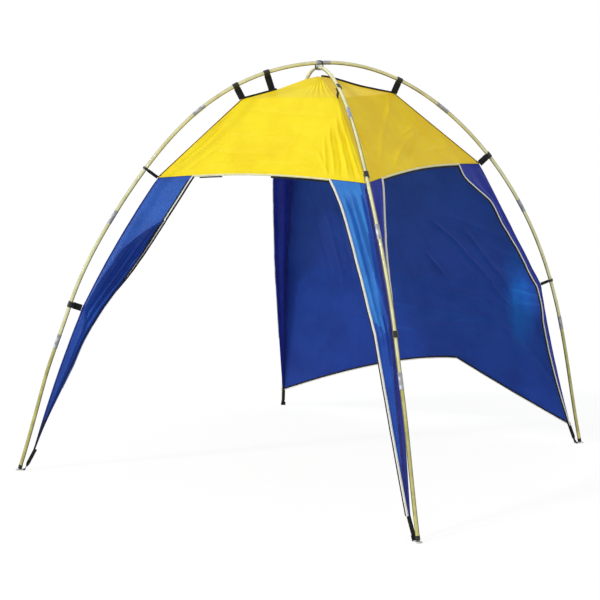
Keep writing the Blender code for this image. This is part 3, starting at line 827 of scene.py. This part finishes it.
def crease_height(lines, x, y):
    """Height of folds given by both ends, height and half width, at a place in the same plane."""
    total = 0.0
    wander = 0.006 * noise.noise(Vector((x * 14, y * 14, 0.3)))
    for x0, y0, x1, y1, height, width in lines:
        dx, dy = x1 - x0, y1 - y0
        length = math.hypot(dx, dy)
        t = ((x - x0) * dx + (y - y0) * dy) / length ** 2
        off = abs(((x - x0) * dy - (y - y0) * dx) / length + wander) / width
        if -0.2 < t < 1.2 and off < 3:
            total += height * math.exp(-off ** 1.5) * smooth((t + 0.2) / 0.4) * smooth((1.2 - t) / 0.4)
    return total


FOLD_LINES = {
    side: [(*panel_place(side, a / 100, b / 100), *panel_place(side, c / 100, d / 100),
            high * FOLD_GAIN[side], wide / 1000) for a, b, c, d, high, wide in lines]
    for side, lines in ROOF_CREASES.items()
}
WALL_LINES = [(a / 100, b / 100, c / 100, d / 100, high * WALL_FOLD_GAIN, wide / 1000)
              for a, b, c, d, high, wide in WALL_CREASES]


def roof_wrinkle(side, v, u):
    """Outward height of the drawn folds and slack ripples."""
    hem = max(0.0, v - 1)
    total = 0.0
    if v > 1:
        drawn = side if side in FOLD_LINES else OPPOSITE[side]
        total = crease_height(FOLD_LINES[drawn], *panel_place(side, u if drawn == side else 1 - u, hem))
    elif side == "front":
        total = 0.0013 * math.sin(2 * math.pi * 13 * u) * smooth((u - 0.5) / 0.3) * math.sin(math.pi * v)
    where = roof_base(side, v, u)
    slack = noise.noise(Vector((where.x * 5.0, where.y * 5.0, where.z * 15.0))) * 0.0022
    fine = noise.noise(Vector((where.x * 17.0 + 4, where.y * 17.0, where.z * 42.0))) * 0.0012
    inner = math.sin(math.pi * u) ** 0.5 * (smooth(v * 1.5) if v < 1 else 1.0)
    folds = total * smooth(min(u, 1 - u) / 0.02) * smooth((1 - hem) / 0.05)
    return folds + (slack + fine) * inner * (1 - 0.85 * smooth((hem - 0.93) / 0.07))


def roof_normal(side, v, u):
    d = 0.01
    a = roof_base(side, min(2.0, v + d), u) - roof_base(side, max(0.02, v - d), u)
    b = roof_base(side, v, min(1.0, u + d)) - roof_base(side, v, max(0.0, u - d))
    n = b.cross(a).normalized()
    return n if n.z > 0 else -n


def roof_point(side, v, u):
    return roof_base(side, v, u) + roof_normal(side, v, u) * roof_wrinkle(side, v, u)


def build_canopy():
    places = [(side, j / count) for side, count in ROOF_COLUMNS.items() for j in range(count)]
    levels = [0.012 + 0.988 * i / 20 for i in range(20)] + [1 + i / 78 for i in range(79)]
    rows = [[roof_point(side, v, u) for side, u in places] for v in levels]
    count = len(places)
    top = sum(rows[0], Vector()) / count + UP * 0.0015
    rows.insert(0, [top.lerp(p, 0.25) for p in rows[0]])
    made = grid_sheet("canopy_cloth", rows, YELLOW, closed=True)
    face_outwards(made, capped=count)
    made.data.shade_smooth()
    # Painted shade: faces of the right side take the more orange yellow
    made.data.materials.append(PAINTED_SHADE_YELLOW)
    for face in made.data.polygons:
        face.material_index = int(places[face.index % count][0] == "right")
    dress("shelter", "roof_cloth", made)
    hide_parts(*[f"roof_{side}" for side in SIDES])
    return made


def hem_trim(side):
    """Piping on the hem between the flaps, and the black binding under it where it shows."""
    one, two = SIDES[side]
    span = (EAVE[two] - EAVE[one]).length
    low, high = 0.01, 0.99
    if side != "back":
        low, high = flap_width(one, two, 0.0) / span, 1 - flap_width(two, one, 0.0) / span
    hem = [roof_point(side, 2.0, low + (high - low) * j / 60) for j in range(61)]
    over = [p - UP * PIPING * 0.3 for p in hem]
    trim = [cord_line(f"hem_piping_{side}", over, PIPING / 2, HEM_CREAM)]
    lower = UP * (PIPING * 0.8 + 0.0032) + side_out(side) * 0.0008
    for first, stop, radius in HEM_BINDINGS.get(side, [(0, 61, 0.0040)]):
        under = [p - lower for p in hem[first:stop]]
        trim.append(cord_line(f"hem_binding_{side}_{first}", under, radius, BLACK_TAPE))
    return trim


def ridge_line(corner, low, high, count, lift):
    """Points on the ridge of a corner, between two levels of the roof."""
    right = next(side for side in SIDES if SIDES[side][0] == corner)
    left = next(side for side in SIDES if SIDES[side][1] == corner)
    line = []
    for i in range(count + 1):
        v = low + (high - low) * i / count
        n = (roof_normal(right, v, 0.0) + roof_normal(left, v, 1.0)).normalized()
        line.append(roof_point(right, v, 0.0) + n * lift)
    return line


def canopy_trim():
    """Piping and binding on the hem, tapes on the ridges, and their stitching."""
    trim = [piece for side in SIDES for piece in hem_trim(side)]
    runs = []
    for side in SIDES:
        for v in (2 - 0.020, 2 - 0.032):
            runs.append([(roof_point(side, v, u / 60), roof_normal(side, v, u / 60)) for u in range(61)])
    trim.append(stitches("hem_stitching", runs, THREAD_YELLOW))
    for corner, start in RIDGE_STARTS.items():
        high = ridge_line(corner, start, 1.0, 20, 0.0012)
        low = ridge_line(corner, 1.0, 2.0, 40, 0.0006)
        trim.append(cord_line(f"ridge_tape_{corner}", high, 0.0048, BLACK_TAPE))
        trim.append(cord_line(f"ridge_seam_{corner}", low, 0.0021, RIDGE_BROWN))
    dress("shelter", "roof_cloth", *trim)
    return trim


# Legs and flaps
def outline_slope(outline, k):
    (a, low), (b, high) = outline[max(0, k - 1)], outline[min(k + 1, len(outline) - 1)]
    return (high - low) / (b - a)


def flap_width(corner, other, share):
    """Width of a flap, on a smooth line through its outline's points or by its taper."""
    if (corner, other) in FLAP_TAPERS:
        extra, power = FLAP_TAPERS[corner, other]
        return LEG_TIP_WIDTH + extra * (1 - share) ** power
    outline = FLAP_OUTLINES[corner, other]
    k = max(i for i in range(len(outline) - 1) if outline[i][0] <= share)
    (a, low), (b, high) = outline[k], outline[k + 1]
    t = (share - a) / (b - a)
    bulge = outline_slope(outline, k) * (1 - t) - outline_slope(outline, k + 1) * t
    return low + (high - low) * smooth(t) + bulge * (b - a) * t * (1 - t)


def flap_frame(corner, other, share):
    base = corner_edge(corner, share)
    along = corner_edge(other, share) - base
    span = along.length
    along.normalize()
    out = Vector((along.y, -along.x, 0)).normalized()
    if out.dot(base - CROSSING) < 0:
        out.negate()
    return base, along, out, span


def leg_fold(corner, other, t, share):
    """Outward height of a flap's folds, as a share of its width."""
    if (corner, other) == ("front_right", "front_left"):
        drawn = smooth(share / 0.08) * (1 - 0.75 * smooth((share - 0.50) / 0.10))
        waves = 0.42 * math.cos(2 * math.pi * (2.0 * t - 0.75))
        waves += 0.30 * math.sin(2 * math.pi * (3.6 * t + 0.3 + 1.2 * share))
        ridge = 0.9 * math.exp(-((t - (0.62 - 1.1 * share)) / 0.10) ** 2)
        return 0.115 * (waves + ridge) * drawn * math.sin(math.pi * min(1.0, t * 0.9 + 0.06))
    lines = math.sin(2 * math.pi * (1.3 * t + 0.2 + 0.4 * share))
    return 0.075 * lines * math.sin(math.pi * t) * math.sin(math.pi * min(1.0, share * 1.2 + 0.05)) ** 0.5


def flap_base(corner, other, t, share):
    near = max(0.0, 1 - share * 8) ** 2
    share = max(0.0, share)
    base, along, out, span = flap_frame(corner, other, share)
    a = t * flap_width(corner, other, share)
    bow = math.sin(math.pi * a / span)
    return base + along * a - out * HEM_INSET * bow * near + UP * HEM_RISE * bow * near, out


def crest_inward(t, share):
    """How far the front left flap turns in beyond its bright crest, as a share of its width."""
    crest = max(0.0, (0.44 - share) / 0.29) ** 2.4 + 0.15 * smooth((share - 0.26) / 0.08)
    crest += 0.42 * smooth((share - 0.48) / 0.10)
    beyond = max(0.0, t - crest)
    streaks = 0.035 * math.sin(2 * math.pi * (3.4 * t + 2.0 * share)) * smooth(beyond / 0.25)
    lean = 0.62 - 0.22 * smooth((share - 0.45) / 0.2)
    return lean * beyond * smooth(beyond / 0.07) + streaks - 0.05 * math.exp(-((t - crest) / 0.06) ** 2)


def flap_point(corner, other, t, share):
    """A point of a leg flap: t runs from the corner edge (0) to the free edge (1)."""
    point, out = flap_base(corner, other, t, share)
    width = flap_width(corner, other, max(0.0, share))
    settle = smooth(share / 0.10)
    if (corner, other) == ("front_left", "front_right"):
        deep = crest_inward(t, max(0.0, share)) * width * settle
        point -= out * deep + Vector((0.66 * deep, 0, 0))
    else:
        point += out * leg_fold(corner, other, t, share) * width * settle
    ripple = 0.0016 * noise.noise(point * 22) * settle * math.sin(math.pi * min(1.0, share + 0.1))
    tuck = max(0.0, -share)
    inward = TUCK_GAP * (1 - smooth(share / 0.03))
    return point + out * (ripple - inward - tuck * 1.05) + UP * tuck


def edge_lines(name, corner, other, along, out):
    """Piping and binding on a flap's free edge, behind the cloth from where the edge turns away."""
    start = NEVER if (corner, other) == ("front_right", "front_left") else HIDDEN_FROM.get(corner, NEVER)
    piping = LEG_PIPING[corner]
    hidden = along * 0.006 + out * (-0.0045 if corner == "back_left" else 0.0045)
    line, edge = [], []
    for share in LEG_ROWS[2:]:
        if start < 1 and share > HIDDEN_END:
            break
        behind = smooth((share - start) / 0.12)
        line.append(flap_point(corner, other, 1.0, share) - hidden * behind)
        edge.append(line[-1] + along * (piping * 0.5 + 0.0014) * (1 - behind))
    return [cord_line(f"{name}_piping_{other}", line, piping / 2, CREAM),
            cord_line(f"{name}_binding_{other}", edge, BINDING, BLACK_TAPE)]


def edge_run(corner, other, back, out):
    """A run for stitches, a distance back from a flap's free edge."""
    run = []
    for share in LEG_ROWS[2::2]:
        t = 1 - min(0.5, back / flap_width(corner, other, share))
        run.append((flap_point(corner, other, t, share) + out * CLOTH / 2, out))
    return run


def flap_tape(name, corner, other, back, least, width, look):
    """A tape down a flap: back from its corner edge, or below 0 from its free edge."""
    out = flap_frame(corner, other, 0.3)[2]
    strip = []
    for share in LEG_ROWS[4:]:
        t = back / max(flap_width(corner, other, share), least)
        strip.append(flap_point(corner, other, t if back > 0 else 1 + t, share))
    return tape_line(name, strip, [out] * len(strip), width, TAPE_THICK, look, 0.0006)


def paint_leg_light(made, corner):
    """Deep blue on the second flap, and painted light: a light blue on the lit part of the right leg."""
    made.data.materials.append(DEEP_BLUE)
    made.data.materials.append(PAINTED_LIGHT_BLUE)
    for face in made.data.polygons:
        row, step = divmod(face.index, 2 * LEG_STEPS)
        share, t = LEG_ROWS[row], 1 - (step + 0.5) / LEG_STEPS
        if t < 0:
            face.material_index = 1
        # Painted light on the right leg's lit part
        elif corner == "front_right" and share < 0.50 - 0.06 * t and t > 0.20 + 0.30 * max(0.0, share):
            face.material_index = 2


def build_leg(node_name, corner, others):
    """A leg's cloth from the free edge of one flap over the corner to the other's, with its trim."""
    name = f"{node_name}_cloth"
    steps = [i / LEG_STEPS for i in range(LEG_STEPS + 1)]
    rows = []
    for share in LEG_ROWS:
        row = [flap_point(corner, others[0], t, share) for t in reversed(steps)]
        row += [flap_point(corner, other, t, share) for other in others[1:] for t in steps[1:]]
        rows.append(row)
    made = grid_sheet(name, rows, BLUE, inwards=0)
    dress("shelter", "blue_cloth", made)
    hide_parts(node_name)
    trim, runs = [], []
    for other in others:
        _, along, out, _ = flap_frame(corner, other, 0.3)
        trim += edge_lines(name, corner, other, along, out)
        runs += [edge_run(corner, other, back, out) for back in (0.006, 0.009)]
    trim.append(stitches(f"{name}_stitching", runs, THREAD_BLUE))
    if corner in CORNER_TAPES:
        width = CORNER_TAPES[corner]
        trim.append(flap_tape(f"{name}_corner_tape", corner, others[0], 0.005, 0.012, width, NAVY_TAPE))
        if corner == "front_left":
            trim.append(flap_tape(f"{name}_inner_tape", corner, others[0], -0.008, 0.016, 0.008, BLACK_TAPE))
        paint_leg_light(made, corner)
    else:
        seam = [flap_point(corner, others[0], 0.0, share) for share in LEG_ROWS[2:]]
        seam = [p - (p - CROSSING).normalized() * 0.0022 for p in seam]
        trim.append(cord_line(f"{name}_seam", seam, 0.0024, NAVY_TAPE))
        made.data.materials[0] = DEEP_BLUE
    dress("shelter", "blue_cloth", *trim)
    return made, trim


# Back wall
def wall_hem(u):
    if u < WALL_HEM_CORNER:
        return 1 - (1 - u / WALL_HEM_CORNER) ** WALL_HEM_BEND
    return (1 - u) / (1 - WALL_HEM_CORNER)


def wall_point(u, v):
    """A point of the wall: u across from the left, v down from the hem of the roof."""
    bow = math.sin(math.pi * u)
    top = EAVE["back_left"].z + HEM_RISE * bow
    low = TIP["back_left"].z + WALL_HEM_RISE * wall_hem(u)
    height = top + (low - top) * v
    left = edge_at_height("back_left", min(height, EAVE["back_left"].z))
    right = edge_at_height("back_right", min(height, EAVE["back_right"].z))
    inward = HEM_INSET * bow * max(0.0, 1 - v * 5) ** 2 + TUCK_GAP * (1 - smooth(v / 0.03))
    point = left.lerp(right, u)
    return Vector((point.x, point.y - inward, height))


def wall_fold(u, v, point):
    """Height of the wall's folds: drawn creases and slack cloth between them."""
    slack = 0.005 * noise.noise(Vector((point.x * 3.2, 1.5, point.z * 2.2)))
    fine = 0.0014 * noise.noise(Vector((point.x * 14, 3.0, point.z * 14)))
    folds = crease_height(WALL_LINES, point.x, point.z)
    return (folds + slack + fine) * math.sin(math.pi * u) ** 0.4 * smooth(v / 0.06)


def build_wall():
    rows = []
    for i in range(-2, WALL_ROWS + 1):
        v = max(0, i) / WALL_ROWS
        row = []
        for j in range(WALL_COLUMNS + 1):
            u = 0.0012 + 0.9976 * j / WALL_COLUMNS
            point = wall_point(u, v)
            point.y += wall_fold(u, v, point)
            if i < 0:
                point += Vector((0, -1.3, 1.0)) * (TUCK * -i / 2)
            row.append(point)
        rows.append(row)
    made = grid_sheet("back_wall_cloth", rows, WALL_BLUE_PAINTED_LIGHT, inwards=0)
    dress("shelter", "blue_cloth", made)
    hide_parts("wall_back")
    hem = [p - UP * 0.0012 for p in rows[-1]]
    over = [p + UP * 0.0040 + Vector((0, -0.0012, 0)) for p in rows[-1]]
    runs = [[(p - Vector((0, CLOTH / 2, 0)), Vector((0, -1, 0))) for p in rows[k][::2]] for k in (-2, -3)]
    trim = [
        cord_line("wall_hem_piping", hem, 0.0024, CREAM),
        cord_line("wall_hem_binding", over, BINDING, BLACK_TAPE),
        stitches("wall_hem_stitching", runs, THREAD_BLUE),
    ]
    dress("shelter", "blue_cloth", *trim)
    return made, trim


# Poles
def build_poles():
    for pole in POLES.values():
        for k in range(SECTIONS):
            build_section(pole, k)
        for k in range(1, SECTIONS):
            build_ferrule(pole, k)
        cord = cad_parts[f"{pole.name}_shock_cord"]
        cord.data.materials.clear()
        cord.data.materials.append(ELASTIC)


def build_section(pole, k):
    name = f"{pole.name}_section_{k + 1}"
    a, b = pole.joint(k) + END_GAP / 2, pole.joint(k + 1) - END_GAP / 2
    outer, inner, edge = TUBE_OD / 2, TUBE_BORE / 2, TUBE_EDGE
    if k == 0:
        made = build_foot_section(pole, name, -1, -b, pole.front)
    elif k == SECTIONS - 1:
        made = build_foot_section(pole, name, 1, a, pole.back)
    else:
        steps = [a + edge + (b - a - 2 * edge) * i / 30 for i in range(31)]
        profile = [(s, outer) for s in steps] + [(b, outer - edge), (b, inner + edge)]
        profile += [(s, inner) for s in reversed(steps)] + [(a, inner + edge), (a, outer - edge)]
        made = lathe_along(f"{name}_rod", pole, profile, PALE_ROD)
        dress("shelter", "fibreglass", made)
    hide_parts(name)


def build_foot_section(pole, name, sign, top, foot):
    """A lowest section: its tube is closed at the foot, with a steel pin and a rubber cap."""
    def turned(label, profile, look, sides=20):
        return lathe_along(f"{name}_{label}", pole, [(sign * s, r) for s, r in profile], look, sides)

    outer, inner, edge = TUBE_OD / 2, TUBE_BORE / 2, TUBE_EDGE
    shoulder = foot - PIN_SHOULDER
    steps = [top + edge + (shoulder - 0.032 - top - edge) * i / 30 for i in range(31)]
    profile = [(shoulder - 0.031, 0.0)] + [(s, inner) for s in reversed(steps)]
    profile += [(top, inner + edge), (top, outer - edge)] + [(s, outer) for s in steps]
    profile += [(shoulder - edge, outer), (shoulder, outer - edge), (shoulder, 0.0)]
    made = turned("rod", profile, FOOT_ROD)
    start, end, radius, bevel = shoulder - 0.001, shoulder + PIN_LENGTH, PIN_OD / 2, 0.0007
    pin = [(start, 0.0), (start, radius), (end - bevel, radius), (end, radius - bevel), (end, 0.0)]
    pin = turned("pin", pin, STEEL, 16)
    low, skin, lap = shoulder - 0.014, 0.0006, 0.0002
    cap = [(low, outer), (low, outer + skin), (shoulder - skin, outer + skin), (shoulder, outer),
           (shoulder, outer - lap), (low + lap, outer - lap)]
    dress(name, "fibreglass", made, turned("tip_cap", cap, RUBBER))
    dress(name, "ferrule_steel", pin)
    return made


def build_ferrule(pole, k):
    """A drawn steel sleeve with rolled mouths and two crimp rings."""
    name = f"{pole.name}_ferrule_{k}"
    middle, half = pole.joint(k), FERRULE_LENGTH / 2
    outer, inner = FERRULE_OD / 2, TUBE_OD / 2 + 0.0002
    mouth = [(half, inner), (half, outer - 0.0006), (half - 0.0006, outer), (half - 0.0022, outer),
             (half - 0.003, outer - 0.0003)]
    shape = [(-s, r) for s, r in mouth]
    for at in (-0.014, 0.014):
        shape += [(at - 0.0016, outer - 0.0003), (at - 0.0007, outer - 0.0008),
                  (at + 0.0007, outer - 0.0006), (at + 0.0016, outer - 0.0003)]
    shape += reversed(mouth)
    made = lathe_along(f"{name}_sleeve", pole, [(middle + s, r) for s, r in shape], STEEL, sides=24)
    dress("shelter", "ferrule_steel", made)
    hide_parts(name)


# Straps and hooks
def strap_frame(pole, s, fabric):
    """Frame at a strap's seam, with y towards the nearest point of the pole, and the reach to it."""
    for _ in range(8):
        middle, ahead = pole.at(s)
        s += (fabric - middle).dot(ahead)
    middle, ahead = pole.at(s)
    gap = (middle - fabric) - ahead * (middle - fabric).dot(ahead)
    n = gap.normalized()
    seam = fabric + n * SEAM_GAP
    side = ahead.cross(n)
    turn = Matrix((side, n, side.cross(n))).transposed().to_4x4()
    return Matrix.Translation(seam) @ turn, (middle - seam).dot(n)


def arc(radius, start, stop, count, cx=0.0, cy=0.0):
    turns = [start + (stop - start) * k / count for k in range(count + 1)]
    return [(cx + radius * math.cos(turn), cy + radius * math.sin(turn)) for turn in turns]


def slab(name, loop, width, matrix, look, round_edge):
    """A closed outline given its width, with rounded edges."""
    count = len(loop)
    points = [matrix @ Vector((x, y, z)) for z in (-width / 2, width / 2) for x, y in loop]
    faces = [tuple(reversed(range(count))), tuple(range(count, 2 * count))]
    made = finish_mesh(name, points, faces + band_faces(0, count), look)
    face_outwards(made)
    soft = made.modifiers.new("edges", "BEVEL")
    soft.width = round_edge
    soft.segments = 2
    soft.limit_method = "ANGLE"
    soft.angle_limit = SLAB_SHARP
    soft.use_clamp_overlap = True
    made.data.set_sharp_from_angle(angle=SLAB_SHARP)
    return made


def hook_outline(reach):
    """A hook that clasps the pole at its reach, with a lip below and a thumb tab above."""
    inner = TUBE_OD / 2 + HOOK_GAP
    outer = inner + HOOK_WALL
    half, neck, top = WEB_THICK / 2, reach - outer, reach + outer
    lip, back, socket = HOOK_LIP, -WEB_THICK / 2 - 0.0008, neck - HOOK_GRIP
    loop = [(back, socket), (back, neck - 0.0002), (-HOOK_ARM, neck + 0.0001)]
    loop += arc(lip, math.pi, 0.5 * math.pi, 3, -HOOK_ARM, reach - inner - lip)[0:3]
    loop += arc(inner, -math.pi / 2, math.pi / 2, 18, 0, reach)
    loop += [(-HOOK_ARM + 0.001, reach + inner), (-HOOK_ARM, reach + inner + 0.0005)]
    loop += [(-HOOK_ARM, top - 0.0007), (-HOOK_ARM + 0.0008, top)]
    loop += arc(outer, math.pi / 2, -math.pi / 2 + 0.45, 16, 0, reach)
    return loop + [(half + 0.0022, neck - 0.0008), (half + 0.0012, socket)], neck


def strap_seams(matrix, wide, neck):
    """Stitch runs on both faces of a strap: rows across it and a line along each edge."""
    runs = []
    for face in (-1, 1):
        n = (matrix.to_3x3() @ Vector((face, 0, 0))).normalized()
        x = face * WEB_THICK / 2
        across = [((y, -wide / 2 + 0.002), (y, wide / 2 - 0.002))
                  for y in (0.004, 0.0065, neck - 0.008) if y <= neck - 0.004]
        edges = [((0.002, z), (neck - 0.006, z)) for z in (-wide / 2 + 0.0022, wide / 2 - 0.0022)]
        runs += [[(matrix @ Vector((x, y, z)), n) for y, z in run] for run in across + edges]
    return runs


def build_strap(name, pole, s, fabric):
    matrix, reach = strap_frame(pole, s, fabric)
    wide = TWISTED_WIDTH if name in TWISTED else WEB_WIDTH
    half = WEB_THICK / 2
    hook, neck = hook_outline(reach)
    clip = slab(f"{name}_hook", hook, wide - 0.0030, matrix, HOOK_PLASTIC, 0.0004)
    band = [(-half, 0.0), (-half, neck - 0.0012), (half, neck - 0.0012), (half, 0.0)]
    web = slab(f"{name}_webbing", band, wide, matrix, WEBBING, 0.0003)
    thread = stitches(f"{name}_stitching", strap_seams(matrix, wide, neck), BLACK_TAPE)
    dress(name, "strap_webbing", clip, web, thread)
    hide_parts(name)


def build_straps():
    for corner in CORNERS:
        pole, sign = pole_of(corner)
        for level, at, ring in (("hip", HIP_AT, HIP), ("eave", EAVE_AT, EAVE), ("knee", KNEE_AT, KNEE)):
            build_strap(f"strap_{level}_{corner}", pole, sign * at, ring[corner])
    pole, sign = pole_of("front_left")
    hip = HIP["front_left"]
    seam = PEAK.lerp(hip, (CAP_AT - CAP_SEAM_BACK) / (hip - PEAK).length)
    build_strap("strap_cap", pole, sign * CAP_AT, seam + UP * CAP_SEAM_LIFT)


# Feet
def upright_frame(out, up, where):
    matrix = Matrix((out, up, out.cross(up))).transposed().to_4x4()
    matrix.translation = where
    return matrix


def heel_outline(lean):
    """The tab's webbing where it bends up from the toe, with the lean of the strip above it."""
    x, rise, top = TAB_HEEL, lean * 0.012, 0.016
    return [
        (x + 0.0012, 0.0), (x + 0.0003, 0.0012), (x, 0.004), (x + rise, top), (x + rise + TAB_WEB, top),
        (x + TAB_WEB, 0.0062), (x + TAB_WEB + 0.0006, 0.0046), (x + TAB_WEB + 0.0016, TAB_THICK),
        (x + 0.008, TAB_THICK - 0.0002), (x + 0.008, 0.0),
    ]


def toe_plate(name):
    """The flat webbing of the toe, with round corners and a hole for the eyelet."""
    toe = bpy.data.curves.new(name, "CURVE")
    toe.dimensions = "2D"
    toe.fill_mode = "BOTH"
    toe.extrude = TAB_THICK / 2 - TOE_BEVEL
    toe.bevel_depth = TOE_BEVEL
    toe.offset = -TOE_BEVEL
    half, heel, end = TAB_WIDTH / 2, TAB_HEEL + 0.007, TAB_TOE - TOE_ROUND
    outline = [(heel, -half), (end, -half)]
    outline += arc(TOE_ROUND, -math.pi / 2, 0, 5, end, -half + TOE_ROUND)[1:]
    outline += arc(TOE_ROUND, 0, math.pi / 2, 5, end, half - TOE_ROUND)
    outline += [(heel, half)]
    for loop in (outline, arc(EYELET / 2 + 0.0002, 0, 2 * math.pi, 24)[:-1]):
        add_line(toe, [(x, y, 0) for x, y in loop]).use_cyclic_u = True
    toe.materials.append(PALE_WEBBING)
    return new_object(name, toe)


def build_eyelet(name, hole):
    """A turned metal ring on a vertical axis, from points of (radius, height)."""
    bore, top = EYELET / 2, TAB_THICK
    profile = [
        (bore - 0.0008, 0.0), (bore + 0.0030, 0.0), (bore + 0.0026, 0.0004), (bore + 0.0026, top),
        (bore + 0.0014, top + 0.0008), (bore, top + 0.0006), (bore - 0.0008, top - 0.0004),
        (bore - 0.0008, 0.0),
    ]
    points, faces, sides = [], [], 24
    for radius, height in profile:
        for k in range(sides):
            turn = 2 * math.pi * k / sides
            points.append(hole + Vector((radius * math.cos(turn), radius * math.sin(turn), height)))
    for i in range(len(profile) - 1):
        faces += band_faces(i * sides, sides)
    made = finish_mesh(name, points, faces, BRASS)
    face_outwards(made, weld=1e-6)
    return made


def build_foot(corner):
    """A webbing tab: its strip from the cloth tip to the ground, its toe with a metal eyelet."""
    name, tip = f"foot_tab_{corner}", TIP[corner]
    pole, sign = pole_of(corner)
    end = pole.back if sign > 0 else -pole.front
    shoulder, ahead = pole.at(end - sign * PIN_SHOULDER)
    ahead = ahead * sign
    hole = shoulder + ahead * (shoulder.z - TAB_THICK / 2) / -ahead.z
    out = Vector((hole.x - tip.x, hole.y - tip.y, 0)).normalized()
    ground = Vector((hole.x, hole.y, 0))
    matrix = upright_frame(out, UP, ground)
    top = (tip - hole).dot(out) - TAB_BACK
    lean = (top - TAB_HEEL) / (tip.z - STRIP_FOOT)
    band = slab(f"{name}_heel", heel_outline(lean), TAB_WIDTH, matrix, WEBBING, 0.0003)
    line, normals = [], []
    for i in range(13):
        t = i / 12
        height = 0.013 + (tip.z + 0.010 - 0.013) * t
        x = TAB_HEEL + lean * (height - STRIP_FOOT) + TAB_WEB / 2
        line.append(matrix @ Vector((x, height, 0)))
        normals.append(out.lerp(TOWARDS_PHOTO, smooth(0.25 + t * 3)).normalized())
    strap = tape_line(f"{name}_strip", line, normals, STRIP_WIDTH, TAB_WEB, WEBBING, -TAB_WEB / 2)
    plate = toe_plate(f"{name}_toe")
    flat = Matrix((out, UP.cross(out), UP)).transposed().to_4x4()
    flat.translation = ground + UP * (TAB_THICK / 2)
    plate.matrix_world = flat
    dress(name, "foot_webbing", band, strap, plate, build_eyelet(f"{name}_eyelet", ground))
    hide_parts(name)


def build_crossing():
    """A wound rubber band round both ferrules."""
    low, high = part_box("crossing_loop")
    middle = (low + high) / 2
    half_w = (high.x - low.x) / 2 - BAND
    half_h = (high.z - low.z) / 2 - BAND
    points = []
    for k in range(BAND_TURNS * BAND_STEPS + 1):
        turn = 2 * math.pi * k / BAND_STEPS
        c, s = math.cos(turn), math.sin(turn)
        x = half_w * math.copysign(abs(c) ** BAND_CORNER, c)
        z = half_h * math.copysign(abs(s) ** BAND_CORNER, s)
        y = (k / (BAND_TURNS * BAND_STEPS) - 0.5) * BAND_SPREAD
        points.append(middle + Vector((x, y, z)))
    made = cord_line("crossing_band", points, BAND, RUBBER)
    dress("shelter", "rubber_loop", made)
    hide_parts("crossing_loop")


# Floor, lights and camera
def blend(owner, share, one, two, output):
    """Two shaders mixed by a share, as the owner's surface."""
    mix = node(owner, "ShaderNodeMixShader")
    link(owner, share, mix.inputs["Fac"])
    link(owner, one.outputs[0], mix.inputs[1])
    link(owner, two.outputs[0], mix.inputs[2])
    link(owner, mix.outputs[0], node(owner, output).inputs["Surface"])


def build_stage():
    """A pale floor, lit for what stands on it and nearly white for the camera."""
    made = bpy.data.materials.new("white floor")
    points = [(x * FLOOR_REACH, y * FLOOR_REACH, FLOOR_HEIGHT) for x, y in CORNERS.values()]
    floor = finish_mesh("floor", points, [(0, 1, 2, 3)], made, smooth_shade=False)
    made.use_nodes = True
    made.node_tree.nodes.clear()
    diffuse = node(made, "ShaderNodeBsdfDiffuse", Color=(0.80, 0.80, 0.80, 1))
    glow = node(made, "ShaderNodeEmission", Color=(1, 1, 1, 1), Strength=FLOOR_GLOW)
    seen = node(made, "ShaderNodeLightPath").outputs["Is Camera Ray"]
    blend(made, combine(made, seen, FLOOR_SHARE, "MULTIPLY"), diffuse, glow, "ShaderNodeOutputMaterial")


def build_world():
    """Soft daylight, and plain white where the camera or a reflection sees it."""
    world = bpy.data.worlds.new("studio")
    bpy.context.scene.world = world
    world.use_nodes = True
    world.node_tree.nodes.clear()
    soft = node(world, "ShaderNodeBackground", Color=(0.96, 0.98, 1.0, 1), Strength=SKY_STRENGTH)
    white = node(world, "ShaderNodeBackground", Color=(1, 1, 1, 1))
    seen = node(world, "ShaderNodeLightPath").outputs
    either = combine(world, seen["Is Camera Ray"], seen["Is Glossy Ray"], "MAXIMUM")
    blend(world, either, soft, white, "ShaderNodeOutputWorld")


def add_lamp(name, kind, energy, facing):
    """A lamp whose back faces a direction."""
    made = new_object(name, bpy.data.lights.new(name, kind))
    made.data.energy = energy
    made.rotation_mode = "QUATERNION"
    made.rotation_quaternion = Vector(facing).to_track_quat("Z", "Y")
    return made


def build_lights():
    add_lamp("key", "SUN", KEY_STRENGTH, LIGHT).data.angle = math.radians(6.0)
    add_lamp("side", "SUN", SIDE_STRENGTH, SIDE_LIGHT).data.angle = math.radians(4.0)
    fill = add_lamp("low fill", "SPOT", FILL_STRENGTH, FILL_PLACE - FILL_AIM)
    fill.location = FILL_PLACE
    fill.data.spot_size = math.radians(3.0)
    fill.data.spot_blend = 1.0
    fill.data.shadow_soft_size = 0.02


def build_camera():
    lens = bpy.data.cameras.new("photo view")
    lens.lens = LENS
    lens.sensor_width = 36.0
    lens.clip_end = 100.0
    made = new_object("photo view", lens)
    made.location = CAMERA_PLACE
    made.rotation_euler = (math.radians(90 - CAMERA_DOWN), 0, math.radians(CAMERA_TURN))
    bpy.context.scene.camera = made


def main():
    canopy = build_canopy()
    canopy_trim()
    for node_name, (corner, others, cut) in LEGS.items():
        made, trim = build_leg(node_name, corner, others)
    wall, trim = build_wall()
    build_poles()
    build_straps()
    for corner in CORNERS:
        build_foot(corner)
    build_crossing()
    build_stage()
    build_world()
    build_lights()
    build_camera()
    bpy.context.scene.view_settings.view_transform = "Standard"


main()
